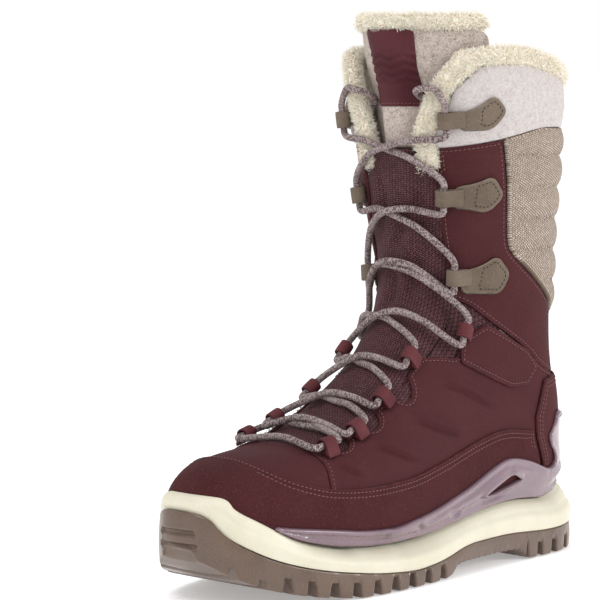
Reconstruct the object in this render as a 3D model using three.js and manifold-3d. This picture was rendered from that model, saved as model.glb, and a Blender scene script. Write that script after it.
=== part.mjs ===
// Insulated lace-up winter walking boot, left foot, in millimetres.
// The origin is on the floor under the middle of the heel: +X outer side, -Y toe, +Z up.
import * as THREE from 'three';
import { ParametricGeometry } from 'three/addons/geometries/ParametricGeometry.js';
import { mergeVertices } from 'three/addons/utils/BufferGeometryUtils.js';
import Module from 'manifold-3d';

const wasm = await Module();
wasm.setup();

// ---------------------------------------------------------------- overall sizes
const FORM_LENGTH = 280; // toe tip to heel back of the upper
const FORM_WIDTH = 99; // upper across the ball of the foot
const BOOT_HEIGHT = 306; // floor to the top of the tongue

// ---------------------------------------------------------------- wall build-up
const GAP = 0.35; // clearance between neighbouring pieces
const LEATHER = 1.6; // vamp, quarters and shaft panels
const OVERLAY = 1.5; // rand, heel counter panel and ankle straps
const STIFFENER = 0.9; // toe puff, heel stiffener, insole board and gussets
const LINING = 2.4; // fleece lining
const FELT_RISE = 1.2; // how far felt and knit stand out past the leather
const FUR_RISE = 2.2; // how far the fur edging stands out past the leather
const FRAME_WALL = 1.7; // moulded stabiliser frame
const TONGUE_DROP = 0.6; // tongue face below the leather face
const TONGUE_FELT = 6; // upper tongue thickness
const TONGUE_LEAN = 0.2; // forward lean of the upper tongue above the collar front
const TONGUE_CROWN = 8; // how far the middle of the upper tongue stands forward
const TONGUE_CROWN_WIDTH = 12; // half width of that crown
const LABEL = 0.8; // woven label thickness

// ---------------------------------------------------------------- sole
const SOLE_LIP = 5; // midsole edge past the form
const SOLE_FLARE = 2.5; // outsole toe bumper past the midsole
const LUG_DEPTH = 4;
const LUG_GROOVE = 4; // width of a groove between two lugs
const LUG_PITCH = 14;
const FOOTBED_EASE = 1.2; // footbed side clearance inside the lining

// ---------------------------------------------------------------- lacing
const LACE = 3.8; // lace diameter
const LACE_EASE = 0.9; // lace clearance inside a loop
const LOOP_WALL = 1.2;
const LOOP_WIDTH = 8;
const LOOP_TAIL = 6;
const TAB_WALL = 2;
const TAB_TUNNEL = 9;
const TAIL_EASE = 1.5; // lace tail clearance inside the collar
const AGLET_LENGTH = 22;
const AGLET_WALL = 0.5;
const THROAT = 26; // half width of the lacing gap

// ---------------------------------------------------------------- the form
// Sections fan from the toe tip round the instep to the top of the shaft. Each row holds the
// bottom (or back) point y, z; the top (or front) point y, z; the outer and inner half widths;
// where the widest line lies between them; and the roundness of the lower and upper halves.
const SECTIONS = [
  [-247, 44, -247, 48, -3, 9, 0.45, 2.4, 2.2],
  [-245, 36, -244, 60, 15, 18, 0.42, 2.6, 2.2],
  [-237, 31, -236, 68, 27, 26, 0.4, 2.8, 2.3],
  [-220, 28, -217, 74, 37, 35, 0.4, 3.0, 2.4],
  [-193, 25, -188, 77, 45, 43, 0.4, 3.2, 2.4],
  [-163, 22, -160, 84, 50, 48, 0.38, 3.2, 2.4],
  [-132, 20, -137, 96, 50, 47, 0.36, 3.2, 2.3],
  [-95, 20, -119, 111, 47, 43, 0.36, 3.2, 2.2],
  [-55, 20, -104, 126, 43, 40, 0.38, 3.0, 2.2],
  [-15, 20, -95, 140, 41, 39, 0.4, 2.8, 2.2],
  [20, 22, -89, 153, 40, 40, 0.42, 2.6, 2.2],
  [33, 40, -87, 166, 40, 40, 0.43, 2.4, 2.2],
  [33, 72, -86, 180, 41, 41, 0.45, 2.3, 2.2],
  [25, 105, -87, 195, 44, 44, 0.47, 2.2, 2.2],
  [21, 140, -88, 212, 48, 48, 0.48, 2.2, 2.2],
  [20, 178, -90, 230, 51, 51, 0.5, 2.2, 2.2],
  [22, 215, -93, 250, 54, 54, 0.5, 2.2, 2.2],
  [25, 250, -96, 272, 55, 55, 0.5, 2.2, 2.2],
  [26, 285, -99, 297, 55, 55, 0.5, 2.2, 2.2],
  [26, 325, -101, 331, 55, 55, 0.5, 2.2, 2.2],
];
// How much of an inset moves the section back from the toe tip, for the first sections.
const NOSE = [1, 0.85, 0.5, 0.2];
const LAST = SECTIONS.length - 1;
const ROUND = 20; // form segments round a section
const ALONG = 27; // form rows from toe to top

const SX = FORM_WIDTH / 99;
const SY = FORM_LENGTH / 280;
const SZ = BOOT_HEIGHT / 306;

function sectionAt(t) {
  const i = Math.min(Math.floor(t), LAST - 1);
  const f = t - i;
  const row = (k) => {
    if (k < 0) return SECTIONS[0].map((v, n) => 2 * v - SECTIONS[1][n]);
    if (k > LAST) return SECTIONS[LAST].map((v, n) => 2 * v - SECTIONS[LAST - 1][n]);
    return SECTIONS[k];
  };
  const [a, b, c, d] = [row(i - 1), row(i), row(i + 1), row(i + 2)];
  return b.map((_, n) => {
    const s = 2 * a[n] - 5 * b[n] + 4 * c[n] - d[n];
    const q = 3 * b[n] - a[n] - 3 * c[n] + d[n];
    return 0.5 * (2 * b[n] + (c[n] - a[n]) * f + s * f * f + q * f * f * f);
  });
}

// A point of the form: t picks the section, turn goes round it from the bottom over the
// outer side (0 to PI) and back down the inner side; inset moves the face inwards.
function formPoint(t, turn, inset = 0, target = new THREE.Vector3()) {
  const [yb, zb, yf, zf, wo, wi, mid, low, high] = sectionAt(t);
  const k = t >= 3 ? Math.max(0, NOSE[3] * (4 - t)) : THREE.MathUtils.lerp(
    NOSE[Math.floor(t)], NOSE[Math.floor(t) + 1], t % 1);
  const side = inset * Math.sqrt(1 - k * k);
  const back = new THREE.Vector3(0, yb * SY, zb * SZ);
  const front = new THREE.Vector3(0, yf * SY, zf * SZ);
  const reach = front.clone().sub(back);
  const step = Math.min(side / reach.length(), 0.45);
  back.addScaledVector(reach, step);
  front.addScaledVector(reach, -step);
  const c = Math.cos(turn);
  const s = Math.sin(turn);
  const n = c > 0 ? low : high;
  const rise = c > 0
    ? mid * (1 - Math.abs(c) ** (2 / n))
    : mid + (1 - mid) * Math.abs(c) ** (2 / n);
  const across = Math.sign(s) * Math.abs(s) ** (2 / n);
  const outer = wo * SX - side;
  const inner = wi * SX - side;
  const x = (outer - inner) / 2 + ((outer + inner) / 2) * across;
  target.set(x, THREE.MathUtils.lerp(back.y, front.y, rise) + k * inset,
    THREE.MathUtils.lerp(back.z, front.z, rise));
  return target;
}

// The upper tongue leans forward above the front of the collar and is crowned in the middle.
function lean(p) {
  const crown = p.y < 0 ? Math.exp(-((p.x / (TONGUE_CROWN_WIDTH * SX)) ** 4)) : 0;
  p.y -= Math.max(0, p.z - 262 * SZ) * TONGUE_LEAN + crown * TONGUE_CROWN;
  return p;
}

// ---------------------------------------------------------------- solids
function solid(geometry) {
  const bare = new THREE.BufferGeometry();
  bare.setAttribute('position', geometry.getAttribute('position'));
  bare.setIndex(geometry.getIndex());
  const welded = mergeVertices(bare, 1e-3);
  const order = welded.index
    ? Array.from(welded.index.array)
    : Array.from({ length: welded.getAttribute('position').count }, (_, i) => i);
  const faces = [];
  for (let i = 0; i < order.length; i += 3) {
    const [a, b, c] = order.slice(i, i + 3);
    if (a !== b && b !== c && c !== a) faces.push(a, b, c);
  }
  return new wasm.Manifold(new wasm.Mesh({
    numProp: 3,
    vertProperties: new Float32Array(welded.getAttribute('position').array),
    triVerts: new Uint32Array(faces),
  }));
}

// The closed form at one inset, optionally moved by a function.
function form(inset, move = (p) => p) {
  const point = (u, v, target) => {
    const t = THREE.MathUtils.clamp((v * (ALONG + 2) - 1) / ALONG, 0, 1) * LAST;
    if (v < 0.5 / (ALONG + 2) || v > 1 - 0.5 / (ALONG + 2)) {
      const low = formPoint(t, 0, inset);
      const high = formPoint(t, Math.PI, inset);
      target.copy(low).add(high).multiplyScalar(0.5);
    } else {
      formPoint(t, -u * 2 * Math.PI, inset, target);
    }
    move(target);
  };
  return solid(new ParametricGeometry(point, ROUND, ALONG + 2));
}

const forms = new Map();
function shell(outer, inner, move) {
  const get = (inset) => {
    const key = `${inset.toFixed(3)}${move ? 'm' : ''}`;
    if (!forms.has(key)) forms.set(key, form(inset, move));
    return forms.get(key);
  };
  return get(outer).subtract(get(inner));
}

function outline(points) {
  return new THREE.Shape(points.map(([a, b]) => new THREE.Vector2(a, b)));
}

// Prisms from a side view (y, z), a plan view (x, y) and a front view (x, z).
function sidePrism(points, x0 = -90, x1 = 90) {
  const g = new THREE.ExtrudeGeometry(outline(points.map(([y, z]) => [y * SY, z * SZ])),
    { depth: (x1 - x0) * SX, bevelEnabled: false });
  g.applyMatrix4(new THREE.Matrix4().makeBasis(
    new THREE.Vector3(0, 1, 0), new THREE.Vector3(0, 0, 1), new THREE.Vector3(1, 0, 0)));
  g.translate(x0 * SX, 0, 0);
  return solid(g);
}

function planPrism(points, z0, z1) {
  const g = new THREE.ExtrudeGeometry(outline(points), { depth: z1 - z0, bevelEnabled: false });
  g.translate(0, 0, z0);
  return solid(g);
}

function frontPrism(points, y0, y1) {
  const g = new THREE.ExtrudeGeometry(outline(points.map(([x, z]) => [x, z])),
    { depth: y1 - y0, bevelEnabled: false });
  g.rotateX(Math.PI / 2);
  g.translate(0, y1, 0);
  return solid(g);
}

// A smooth plan outline through points on one side and then back along the other.
function smoothLoop(points, steps) {
  const curve = new THREE.SplineCurve([...points, points[0]].map(([a, b]) =>
    new THREE.Vector2(a * SX, b * SY)));
  return curve.getPoints(steps).slice(0, -1).map((p) => [p.x, p.y]);
}

function biggest(body) {
  return body.decompose().reduce((a, b) => (b.volume() > a.volume() ? b : a));
}

const outerSide = (gap = GAP / 2) => sidePrism([[-300, -50], [120, -50], [120, 400], [-300, 400]],
  gap, 90);
const innerSide = (gap = GAP / 2) => sidePrism([[-300, -50], [120, -50], [120, 400], [-300, 400]],
  -90, -gap);

// ---------------------------------------------------------------- shared outlines, side view
const RAND_TOP = [[-226, 90], [-223, 74], [-218, 69.5], [-211, 65], [-199, 61], [-189, 58.5],
  [-172, 57], [-155, 57], [-127, 58.5], [-90, 65.5], [-60, 72.5], [-40, 75.5], [-13.5, 71.5]];
const VAMP_SEAM = [[-183, 100], [-182.3, 72], [-188.3, 59], [-190, 5]];
const SHAFT_LOW = [[-84, 152], [-65, 149], [-48, 136], [-17, 117], [-9, 109.5], [8, 103], [60, 99]];
const KNIT_FRONT = [[-56, 237.9], [-50.5, 215.5], [-46, 181], [-41.5, 174], [1, 144],
  [18, 134], [60, 128]];
const FELT_LOW = [[-110, 231], [-83, 233.4], [-56, 238.3], [-28, 244.3], [-7, 243.8], [60, 243.8]];
const COLLAR_TOP = [[-262, 283], [-79, 285], [-58, 287.5], [-33, 286], [-4, 279], [26, 273], [60, 271]];
const SOLE_TOP = [[-262, 58], [-249, 58], [-245, 56], [-243, 51], [-231, 44], [-226, 41],
  [-211, 33], [-185, 27], [-156, 24], [-112, 25], [-87, 29], [-52, 33], [-30, 34], [8, 30],
  [25, 36], [60, 41]];
const SOLE_SPLIT = [[-262, 51], [-252, 50], [-247, 38.5], [-240, 32.5], [-226, 25], [-209, 19.5],
  [-191, 15.5], [-160, 11], [-130, 8.5], [-105, 10.5], [-82, 16], [-40, 16.4], [-5, 14], [60, 15]];
const TREAD = [[60, 3], [40, 2], [34, 0], [-26, 0], [-30, 7], [-92, 7], [-98, 0], [-176, 0],
  [-200, 3], [-225, 8.5], [-245, 17], [-252, 24], [-262, 32]];
const FUR_BAND = 7.5; // depth of the fur edging along the collar top
const FUR_EDGE = 11; // width of the fur edging down the collar front
const FUR_LOW = 222; // where the front fur edging ends
// Half width of the collar's front opening at each height.
const COLLAR_SLIT = [[17, 200], [17, 240], [24, 256], [27, 264], [42, 284], [60, 300]];

const lift = (points, dz) => points.map(([y, z]) => [y, z + dz / SZ]);
const slide = (points, dy) => points.map(([y, z]) => [y + dy / SY, z]);
const shift = (points, dy, dz) => lift(slide(points, dy), dz);
const under = (points) => [...points, [points[points.length - 1][0], -40], [points[0][0], -40]];
const over = (points) => [...points, [points[points.length - 1][0], 420], [points[0][0], 420]];

// ---------------------------------------------------------------- throat
function throat(grow) {
  const w = THROAT * SX + grow;
  const points = [[w, -30 * SY], [w, -166 * SY]];
  for (let i = 1; i < 10; i += 1) {
    const a = (i / 10) * Math.PI;
    points.push([w * Math.cos(a), -166 * SY - (18 + grow) * Math.sin(a)]);
  }
  points.push([-w, -166 * SY], [-w, -30 * SY]);
  return planPrism(points.reverse(), 55 * SZ, 400 * SZ);
}
const throatOpen = throat(0);
const throatWide = throat(GAP);
const throatPlug = throat(-GAP);

// The fur edging's region round the collar's top and front, grown by a gap.
function furRegion(grow) {
  const inner = COLLAR_SLIT.map(([x, z]) => [x * SX - grow, z * SZ]);
  const outer = COLLAR_SLIT.map(([x, z]) => [(x + FUR_EDGE) * SX + grow, z * SZ]);
  const low = FUR_LOW * SZ - grow;
  const strip = (s) => frontPrism([
    [s * inner[0][0], low], ...inner.slice(1).map(([x, z]) => [s * x, z]),
    ...outer.slice(1).reverse().map(([x, z]) => [s * x, z]), [s * outer[0][0], low],
  ], -200 * SY, -45 * SY + grow);
  const band = sidePrism([...over(lift(COLLAR_TOP, -FUR_BAND - grow))]);
  const slit = frontPrism([
    ...inner.slice().reverse().map(([x, z]) => [-x, z]), ...inner.map(([x, z]) => [x, z]),
  ], -200 * SY, -45 * SY + grow);
  return band.subtract(slit).add(strip(1)).add(strip(-1));
}
const fur = furRegion(0);
const furWide = furRegion(GAP);
const belowCollarTop = sidePrism(under(COLLAR_TOP));

// ---------------------------------------------------------------- pieces
const parts = [];
const FINISH = {
  nubuck: { color: 0x54262b, roughness: 0.85 },
  suede: { color: 0x4a2024, roughness: 0.95 },
  mesh: { color: 0x4b2a2e, roughness: 0.9 },
  webbing: { color: 0x6e3036, roughness: 0.8 },
  felt: { color: 0xb5a79f, roughness: 1 },
  knit: { color: 0x8d7f72, roughness: 0.95 },
  fur: { color: 0xe9dcc0, roughness: 1 },
  frame: { color: 0x6f4f58, roughness: 0.4 },
  foam: { color: 0xd9d0b8, roughness: 0.6 },
  rubber: { color: 0x6b5646, roughness: 0.55 },
  tab: { color: 0x6a6253, roughness: 0.9 },
  lace: { color: 0xb7aaa4, roughness: 0.9 },
  board: { color: 0x8b7a64, roughness: 0.9 },
  steel: { color: 0x9a9c9e, roughness: 0.4, metalness: 1 },
  plastic: { color: 0xc9c2bc, roughness: 0.4 },
};

function keep(name, body, finish) {
  const mesh = body.getMesh();
  const g = new THREE.BufferGeometry();
  g.setAttribute('position', new THREE.BufferAttribute(new Float32Array(mesh.vertProperties), 3));
  g.setIndex(new THREE.BufferAttribute(new Uint32Array(mesh.triVerts), 1));
  const flat = g.toNonIndexed();
  flat.computeVertexNormals();
  const node = new THREE.Mesh(flat, new THREE.MeshStandardMaterial(FINISH[finish]));
  node.name = name;
  parts.push(node);
}

// ---- outsole and midsole
const SOLE_PLAN = [[-4, -256], [14, -253], [28, -244], [39, -226], [49, -196], [54.5, -165],
  [54.5, -132], [51, -95], [47, -55], [45.5, -15], [42, 14], [29, 33], [0, 39], [-28, 33],
  [-40, 14], [-43, -15], [-43.5, -55], [-46.5, -95], [-51.5, -132], [-52.5, -165], [-47, -196],
  [-38, -226], [-28, -242], [-16, -253]];
const planOuter = smoothLoop(SOLE_PLAN, 60);
const planInner = planOuter.map(([x, y]) => {
  const front = THREE.MathUtils.smoothstep(-y, 225 * SY, 256 * SY);
  return [x, y + front * SOLE_FLARE];
});
const solePrism = planPrism(planOuter, -10, 90 * SZ);
const midPrism = planPrism(planInner, -10, 90 * SZ);

const pocket = -(OVERLAY + 3 * GAP); // inside of the sole's cup round the overlays
let outsole = solePrism
  .intersect(sidePrism([...SOLE_SPLIT, ...TREAD]))
  .subtract(form(pocket));
const grooveTop = LUG_DEPTH / SZ;
for (let y = -246; y < -100; y += LUG_PITCH) {
  const dz = y < -176 ? (-176 - y) * 0.22 : 0;
  const wide = LUG_GROOVE / SY;
  outsole = outsole.subtract(sidePrism([[y, -20], [y + wide, -20], [y + wide, grooveTop + dz],
    [y, grooveTop + dz]]));
}
for (let y = -12; y < 30; y += LUG_PITCH) {
  const wide = LUG_GROOVE / SY;
  outsole = outsole.subtract(sidePrism([[y, -20], [y + wide, -20], [y + wide, grooveTop],
    [y, grooveTop]]));
}
const channel = (y0, y1, x) => sidePrism([[y0, -20], [y1, -20], [y1, grooveTop], [y0, grooveTop]],
  x - LUG_GROOVE / 2, x + LUG_GROOVE / 2);
for (const x of [-27, 0, 27]) outsole = outsole.subtract(channel(-176, -96, x));
for (const x of [-15, 15]) outsole = outsole.subtract(channel(-28, 60, x));
for (const z of [24, 31, 38]) {
  outsole = outsole.subtract(sidePrism([[-262, z], [-253.5, z], [-253.5, z + 2], [-262, z + 2]],
    -12, 8));
}
keep('outsole', biggest(outsole), 'rubber');

const midsole = midPrism
  .intersect(sidePrism([...SOLE_TOP, ...shift(SOLE_SPLIT, GAP, GAP).reverse()]))
  .subtract(form(pocket));
keep('midsole', biggest(midsole), 'foam');

// ---- stabiliser frame with its side windows
const FRAME_TOP = [[-222, 41], [-190, 37], [-170, 34], [-145, 33], [-113, 38], [-76, 47],
  [-48, 57], [-37, 59], [-19.5, 55.5], [4, 47], [12, 53], [-1, 66], [7, 72.5], [9, 81],
  [22, 80], [30, 74], [60, 72]];
const frameWindow = sidePrism([[-62, 41], [-57, 39.5], [-27, 45.5], [-36, 49.5]]);
const frame = shell(pocket - FRAME_WALL, pocket)
  .intersect(sidePrism([...FRAME_TOP, ...lift(SOLE_TOP, GAP).slice(5).reverse()]))
  .subtract(frameWindow);
keep('stabilizer_frame', biggest(frame), 'frame');

// ---- overlays
const over1 = shell(-GAP - OVERLAY, -GAP);
const RAND_LOW = [[-3, 27], [-90, 25], [-150, 26], [-200, 30], [-235, 36], [-262, 42]];
keep('toe_rand', biggest(over1.intersect(sidePrism([
  [-262, 90], ...RAND_TOP, [-13, 67], [-6, 52], ...RAND_LOW]))), 'suede');
keep('heel_counter_panel', biggest(over1.intersect(sidePrism([
  [-3.5, 100], [-11, 79], [-9.5, 67], [-2, 52], [1, 27], [60, 27], [60, 104], [26, 104]]))),
'nubuck');
const STRAP = [[-52, 134.5], [-68, 127], [-72, 115], [-53, 106], [-34, 98], [-20, 98.5],
  [-11.5, 108], [-20, 118]];
const strap = over1.intersect(sidePrism(STRAP));
keep('ankle_strap_lateral', biggest(strap.intersect(outerSide())), 'nubuck');
keep('ankle_strap_medial', biggest(strap.intersect(innerSide())), 'nubuck');

// ---- leather layer
const skin = shell(0, LEATHER);
const seamFront = slide(VAMP_SEAM, -GAP / 2);
keep('vamp', biggest(skin
  .intersect(sidePrism([[-262, 5], [-262, 100], ...seamFront]))
  .subtract(throatWide)), 'nubuck');
const QUARTER_TOP = [[-160, 100], [-100, 118], [-83, 118.5], [-72, 116], [-62, 130], [-50, 135],
  [-17, 116.5], [-9, 109], [8, 102.5], [60, 98.5]];
// Rounded notches between the eyestay loops.
const NOTCHES = [[-165, 7], [-141, 7], [-114, 7]];
const NOTCH_REACH = 8;
let quarters = skin
  .intersect(sidePrism([...slide(VAMP_SEAM, GAP / 2).reverse(), ...lift(QUARTER_TOP, -GAP),
    [60, 5]]))
  .subtract(throatWide);
for (const [y, r] of NOTCHES) {
  for (const s of [1, -1]) {
    const disc = new THREE.Shape().absarc(s * (THROAT + NOTCH_REACH - r) * SX, y * SY, r, 0,
      2 * Math.PI);
    const g = new THREE.ExtrudeGeometry(disc, { depth: 90, bevelEnabled: false, curveSegments: 10 });
    g.translate(0, 0, 60 * SZ);
    quarters = quarters.subtract(solid(g));
  }
}
keep('quarter_lateral', biggest(quarters.intersect(outerSide())), 'nubuck');
keep('quarter_medial', biggest(quarters.intersect(innerSide())), 'nubuck');

const shafts = skin
  .intersect(sidePrism([...lift(SHAFT_LOW, GAP), ...shift(KNIT_FRONT, -GAP, -GAP).reverse(),
    ...lift(FELT_LOW.slice(0, 2), -GAP).reverse()]))
  .subtract(throatWide)
  .subtract(furWide);
keep('shaft_panel_lateral', biggest(shafts.intersect(outerSide())), 'nubuck');
keep('shaft_panel_medial', biggest(shafts.intersect(innerSide())), 'nubuck');

const soft = shell(-FELT_RISE, LEATHER);
keep('rear_knit_panel', biggest(soft.intersect(sidePrism([
  ...KNIT_FRONT.slice(1), ...lift(FELT_LOW.slice(2), -GAP).reverse()]))), 'knit');
keep('collar_felt', biggest(soft
  .intersect(sidePrism(over(FELT_LOW)))
  .intersect(belowCollarTop)
  .subtract(furWide)
  .subtract(throatWide)), 'felt');

// ---- lining and inner pieces
const liningOuter = LEATHER + 2 * GAP + STIFFENER;
const liningInner = liningOuter + LINING;
keep('lining', biggest(shell(liningOuter, liningInner)
  .intersect(belowCollarTop)
  .subtract(furWide)
  .subtract(throatWide)), 'fur');
keep('collar_fur_trim', biggest(shell(-FUR_RISE, liningInner)
  .intersect(fur)
  .intersect(belowCollarTop)), 'fur');
const between = shell(LEATHER + GAP, LEATHER + GAP + STIFFENER);
keep('toe_puff', biggest(between.intersect(sidePrism([
  [-262, 39], [-262, 100], [-225, 100], [-200, 60], [-190, 39]]))), 'board');
keep('heel_stiffener', biggest(between.intersect(sidePrism([
  [-40, 31], [-14, 96], [60, 96], [60, 31]]))), 'board');
keep('insole_board', biggest(between.intersect(sidePrism([
  [-238, 10], [-238, 36], [-200, 31], [-163, 28], [-132, 26], [0, 26], [22, 28], [26, 10]]))),
'board');
const gussets = between
  .intersect(throat(13))
  .intersect(sidePrism([[-178, 60], [-178, 90], [-110, 150], [-110, 221], [-40, 221], [-40, 120],
    [-90, 90], [-140, 60]]))
  .subtract(throatWide)
  .subtract(furWide);
keep('gusset_lateral', biggest(gussets.intersect(outerSide())), 'mesh');
keep('gusset_medial', biggest(gussets.intersect(innerSide())), 'mesh');
keep('shank', biggest(shell(-GAP - OVERLAY, -GAP).intersect(sidePrism([
  [-150, 5], [-150, 24], [-20, 24], [-20, 5]], -9, 9))), 'steel');

const FOOTBED_TOP = [[-238, 46], [-200, 39], [-163, 34.5], [-132, 33], [-95, 33], [-55, 33.5],
  [-15, 35], [10, 39], [40, 41]];
keep('footbed', biggest(form(liningInner + FOOTBED_EASE)
  .intersect(sidePrism(under(FOOTBED_TOP)))), 'felt');

// ---- tongue
keep('tongue_mesh', biggest(shell(TONGUE_DROP, liningInner)
  .intersect(throatPlug)
  .intersect(sidePrism([[-200, 60], [-200, 232], [-20, 232], [-20, 120], [-90, 90], [-140, 60]]))
  .subtract(furWide)), 'mesh');
const tongueFace = liningInner + LACE + 2 * TAIL_EASE;
const TONGUE_HALF = 42;
const TONGUE_LOW = 232.5;
const TONGUE_FUR = 299;
const tongueRegion = (z0, z1, w) => frontPrism([[-w, z0], [w, z0], [w, z1], [-w, z1]]
  .map(([x, z]) => [x * SX, z * SZ]), -200 * SY, -36 * SY);
keep('tongue_felt', biggest(shell(tongueFace, tongueFace + TONGUE_FELT, lean)
  .intersect(tongueRegion(TONGUE_LOW, TONGUE_FUR - GAP, TONGUE_HALF))), 'felt');
keep('tongue_fur_trim', biggest(shell(tongueFace - 1, tongueFace + TONGUE_FELT + 1, lean)
  .intersect(tongueRegion(TONGUE_FUR, 306, TONGUE_HALF + 1))), 'fur');
keep('tongue_label', biggest(shell(tongueFace - GAP - LABEL, tongueFace - GAP, lean)
  .intersect(tongueRegion(256.5, 298, 17))), 'webbing');

// ---- lacing hardware: places on the form by section and angle from the front centre line
const LOOPS = [[4.45, 32], [5.3, 30], [6.45, 27.5], [7.9, 28], [10.1, 49]];
const TABS = [[11.7, 41], [14, 34], [16.05, 35.5]];
const onOverlay = (i) => (i === 4 ? OVERLAY + GAP : 0);
const bore = LACE / 2 + LACE_EASE;
const ride = GAP + 0.45; // a flat loop base stays clear of the curved face below it

const place = (t, side, angle, inset) => formPoint(t, Math.PI - side * angle * Math.PI / 180, inset);

// Local axes at a place: along the throat edge, away from the throat, and out of the face.
function seat(t, side, angle, inset) {
  const at = place(t, side, angle, inset);
  const along = place(t + 0.05, side, angle, inset).sub(place(t - 0.05, side, angle, inset));
  const pace = along.length() / 0.1; // millimetres per section
  along.normalize();
  const away = place(t, side, angle + 1, inset).sub(place(t, side, angle - 1, inset)).normalize();
  const out = new THREE.Vector3().crossVectors(away, along).multiplyScalar(side).normalize();
  away.crossVectors(along, out).multiplyScalar(side).normalize();
  return { at, along, away, out, pace };
}

// A band folded round the lace: a ring with a flat tail, extruded along the throat edge.
function band({ at, along, away, out }, wall, width, tail, side) {
  const r = bore + wall;
  const shape = new THREE.Shape();
  shape.moveTo(tail, -r);
  shape.lineTo(tail, -r + wall);
  shape.lineTo(r * 0.8, -r + wall);
  shape.absarc(0, 0, r, -0.2, Math.PI, false);
  shape.absarc(0, 0, r, Math.PI, 1.5 * Math.PI, false);
  shape.lineTo(tail, -r);
  shape.holes.push(new THREE.Path().absarc(0, 0, bore, 0, 2 * Math.PI, true));
  const g = new THREE.ExtrudeGeometry(shape, { depth: width, bevelEnabled: false, curveSegments: 5 });
  g.translate(0, 0, -width / 2);
  const origin = at.clone().addScaledVector(out, r);
  const third = new THREE.Vector3().crossVectors(away, out);
  g.applyMatrix4(new THREE.Matrix4().makeBasis(away, out, third).setPosition(origin));
  return solid(g);
}

const route = { 1: [], '-1': [] };
LOOPS.forEach(([t, angle], i) => {
  for (const side of [1, -1]) {
    const s = seat(t, side, angle, -ride - onOverlay(i));
    const name = `webbing_loop_${side > 0 ? 'lateral' : 'medial'}_${i + 1}`;
    keep(name, biggest(band(s, LOOP_WALL, LOOP_WIDTH, LOOP_TAIL, side)), 'webbing');
    const centre = s.at.clone().addScaledVector(s.out, bore + LOOP_WALL);
    route[side].push({ t, angle, centre, along: s.along, pace: s.pace, half: LOOP_WIDTH / 2 });
  }
});

// Leather tabs: a plate on the shaft with a tunnel for the lace along its front edge.
const TAB_PLATES = [
  [[-68, 167], [-52, 174], [-42, 163], [-46, 151], [-68, 152]],
  [[-78, 213], [-61, 218.5], [-53, 207], [-61, 197], [-78, 200]],
  [[-82, 253], [-66, 263], [-58, 253.5], [-66, 243], [-82, 242]],
];
TABS.forEach(([t, angle], i) => {
  const base = i === 2 ? FUR_RISE + GAP : GAP;
  for (const side of [1, -1]) {
    const s = seat(t, side, angle, -base - 0.3);
    const plate = shell(-base - TAB_WALL, -base)
      .intersect(sidePrism(TAB_PLATES[i]))
      .intersect(side > 0 ? outerSide(THROAT + 2) : innerSide(THROAT + 2));
    const tunnel = band(s, TAB_WALL * 0.7, TAB_TUNNEL, 7, side);
    const hole = new THREE.CylinderGeometry(bore, bore, TAB_TUNNEL * 2, 12);
    const centre = s.at.clone().addScaledVector(s.out, bore + TAB_WALL * 0.7);
    hole.applyMatrix4(new THREE.Matrix4().makeBasis(s.away, s.along,
      new THREE.Vector3().crossVectors(s.away, s.along)).setPosition(centre));
    const name = `lace_tab_${side > 0 ? 'lateral' : 'medial'}_${i + 1}`;
    keep(name, biggest(biggest(plate).add(tunnel).subtract(solid(hole))), 'tab');
    route[side].push({ t, angle, centre, along: s.along, pace: s.pace, half: TAB_TUNNEL / 2 });
  }
});

// ---- lace: one length, up each side in turn, crossing over the tongue
const UNDER = -(LACE / 2 + 0.9);
const OVER = UNDER - LACE - 0.5;
const EXIT = LACE + 0.2; // straight run of the lace past a loop
function strand(first) {
  const points = [];
  const last = LOOPS.length + TABS.length - 1;
  let side = first;
  for (let k = 0; k <= last; k += 1) {
    const hold = route[side][k];
    for (const run of [-hold.half - EXIT, -hold.half * 0.5, hold.half * 0.5, hold.half + EXIT]) {
      points.push(hold.centre.clone().addScaledVector(hold.along, run));
    }
    if (k < last) {
      const next = route[-side][k + 1];
      const top = side < 0;
      const leave = hold.t + (hold.half + EXIT) / hold.pace;
      const enter = next.t - (next.half + EXIT) / next.pace;
      const shallow = UNDER - (k === last - 1 ? FUR_RISE : 1.2);
      for (const f of [0.3, 0.5, 0.7]) {
        const t = THREE.MathUtils.lerp(leave, enter, f);
        const turn = side * THREE.MathUtils.lerp(hold.angle, -next.angle, f);
        points.push(place(t, 1, turn, f === 0.5 ? (top ? OVER : UNDER) : shallow - (top ? 1.2 : 0)));
      }
      side = -side;
    }
  }
  // round the front edge of the collar and down inside it
  const inside = liningInner + LACE / 2 + TAIL_EASE;
  for (const [t, a, d] of [[16.75, 30, -FUR_RISE - LACE / 2 - 2 * GAP], [16.72, 22, -4.2],
    [16.68, 18.5, -0.5], [16.64, 18.5, 4], [16.55, 22, inside], [16.4, 30, inside],
    [16, 37, inside], [15.5, 42, inside], [14.9, 45, inside + 0.6], [14.2, 46, inside + 2.2]]) {
    points.push(place(t, side, a, d));
  }
  return points;
}
const left = strand(1);
const right = strand(-1);
const bar = place(4.25, 1, 0, UNDER);
const lacePoints = [...left.slice().reverse(), bar, ...right];
const laceCurve = new THREE.CatmullRomCurve3(lacePoints, false, 'centripetal');
const LACE_LENGTH = laceCurve.getLength();
const circle = (r) => new THREE.Shape().absarc(0, 0, r, 0, 2 * Math.PI);
const LACE_SIDES = 3; // per half turn of the section
const LACE_STEP = 4;
const sweep = (path, r, steps, sides) => new THREE.ExtrudeGeometry(circle(r),
  { steps, extrudePath: path, curveSegments: sides, bevelEnabled: false });
keep('lace', solid(sweep(laceCurve, LACE / 2, Math.round(LACE_LENGTH / LACE_STEP), LACE_SIDES)),
  'lace');

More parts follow.
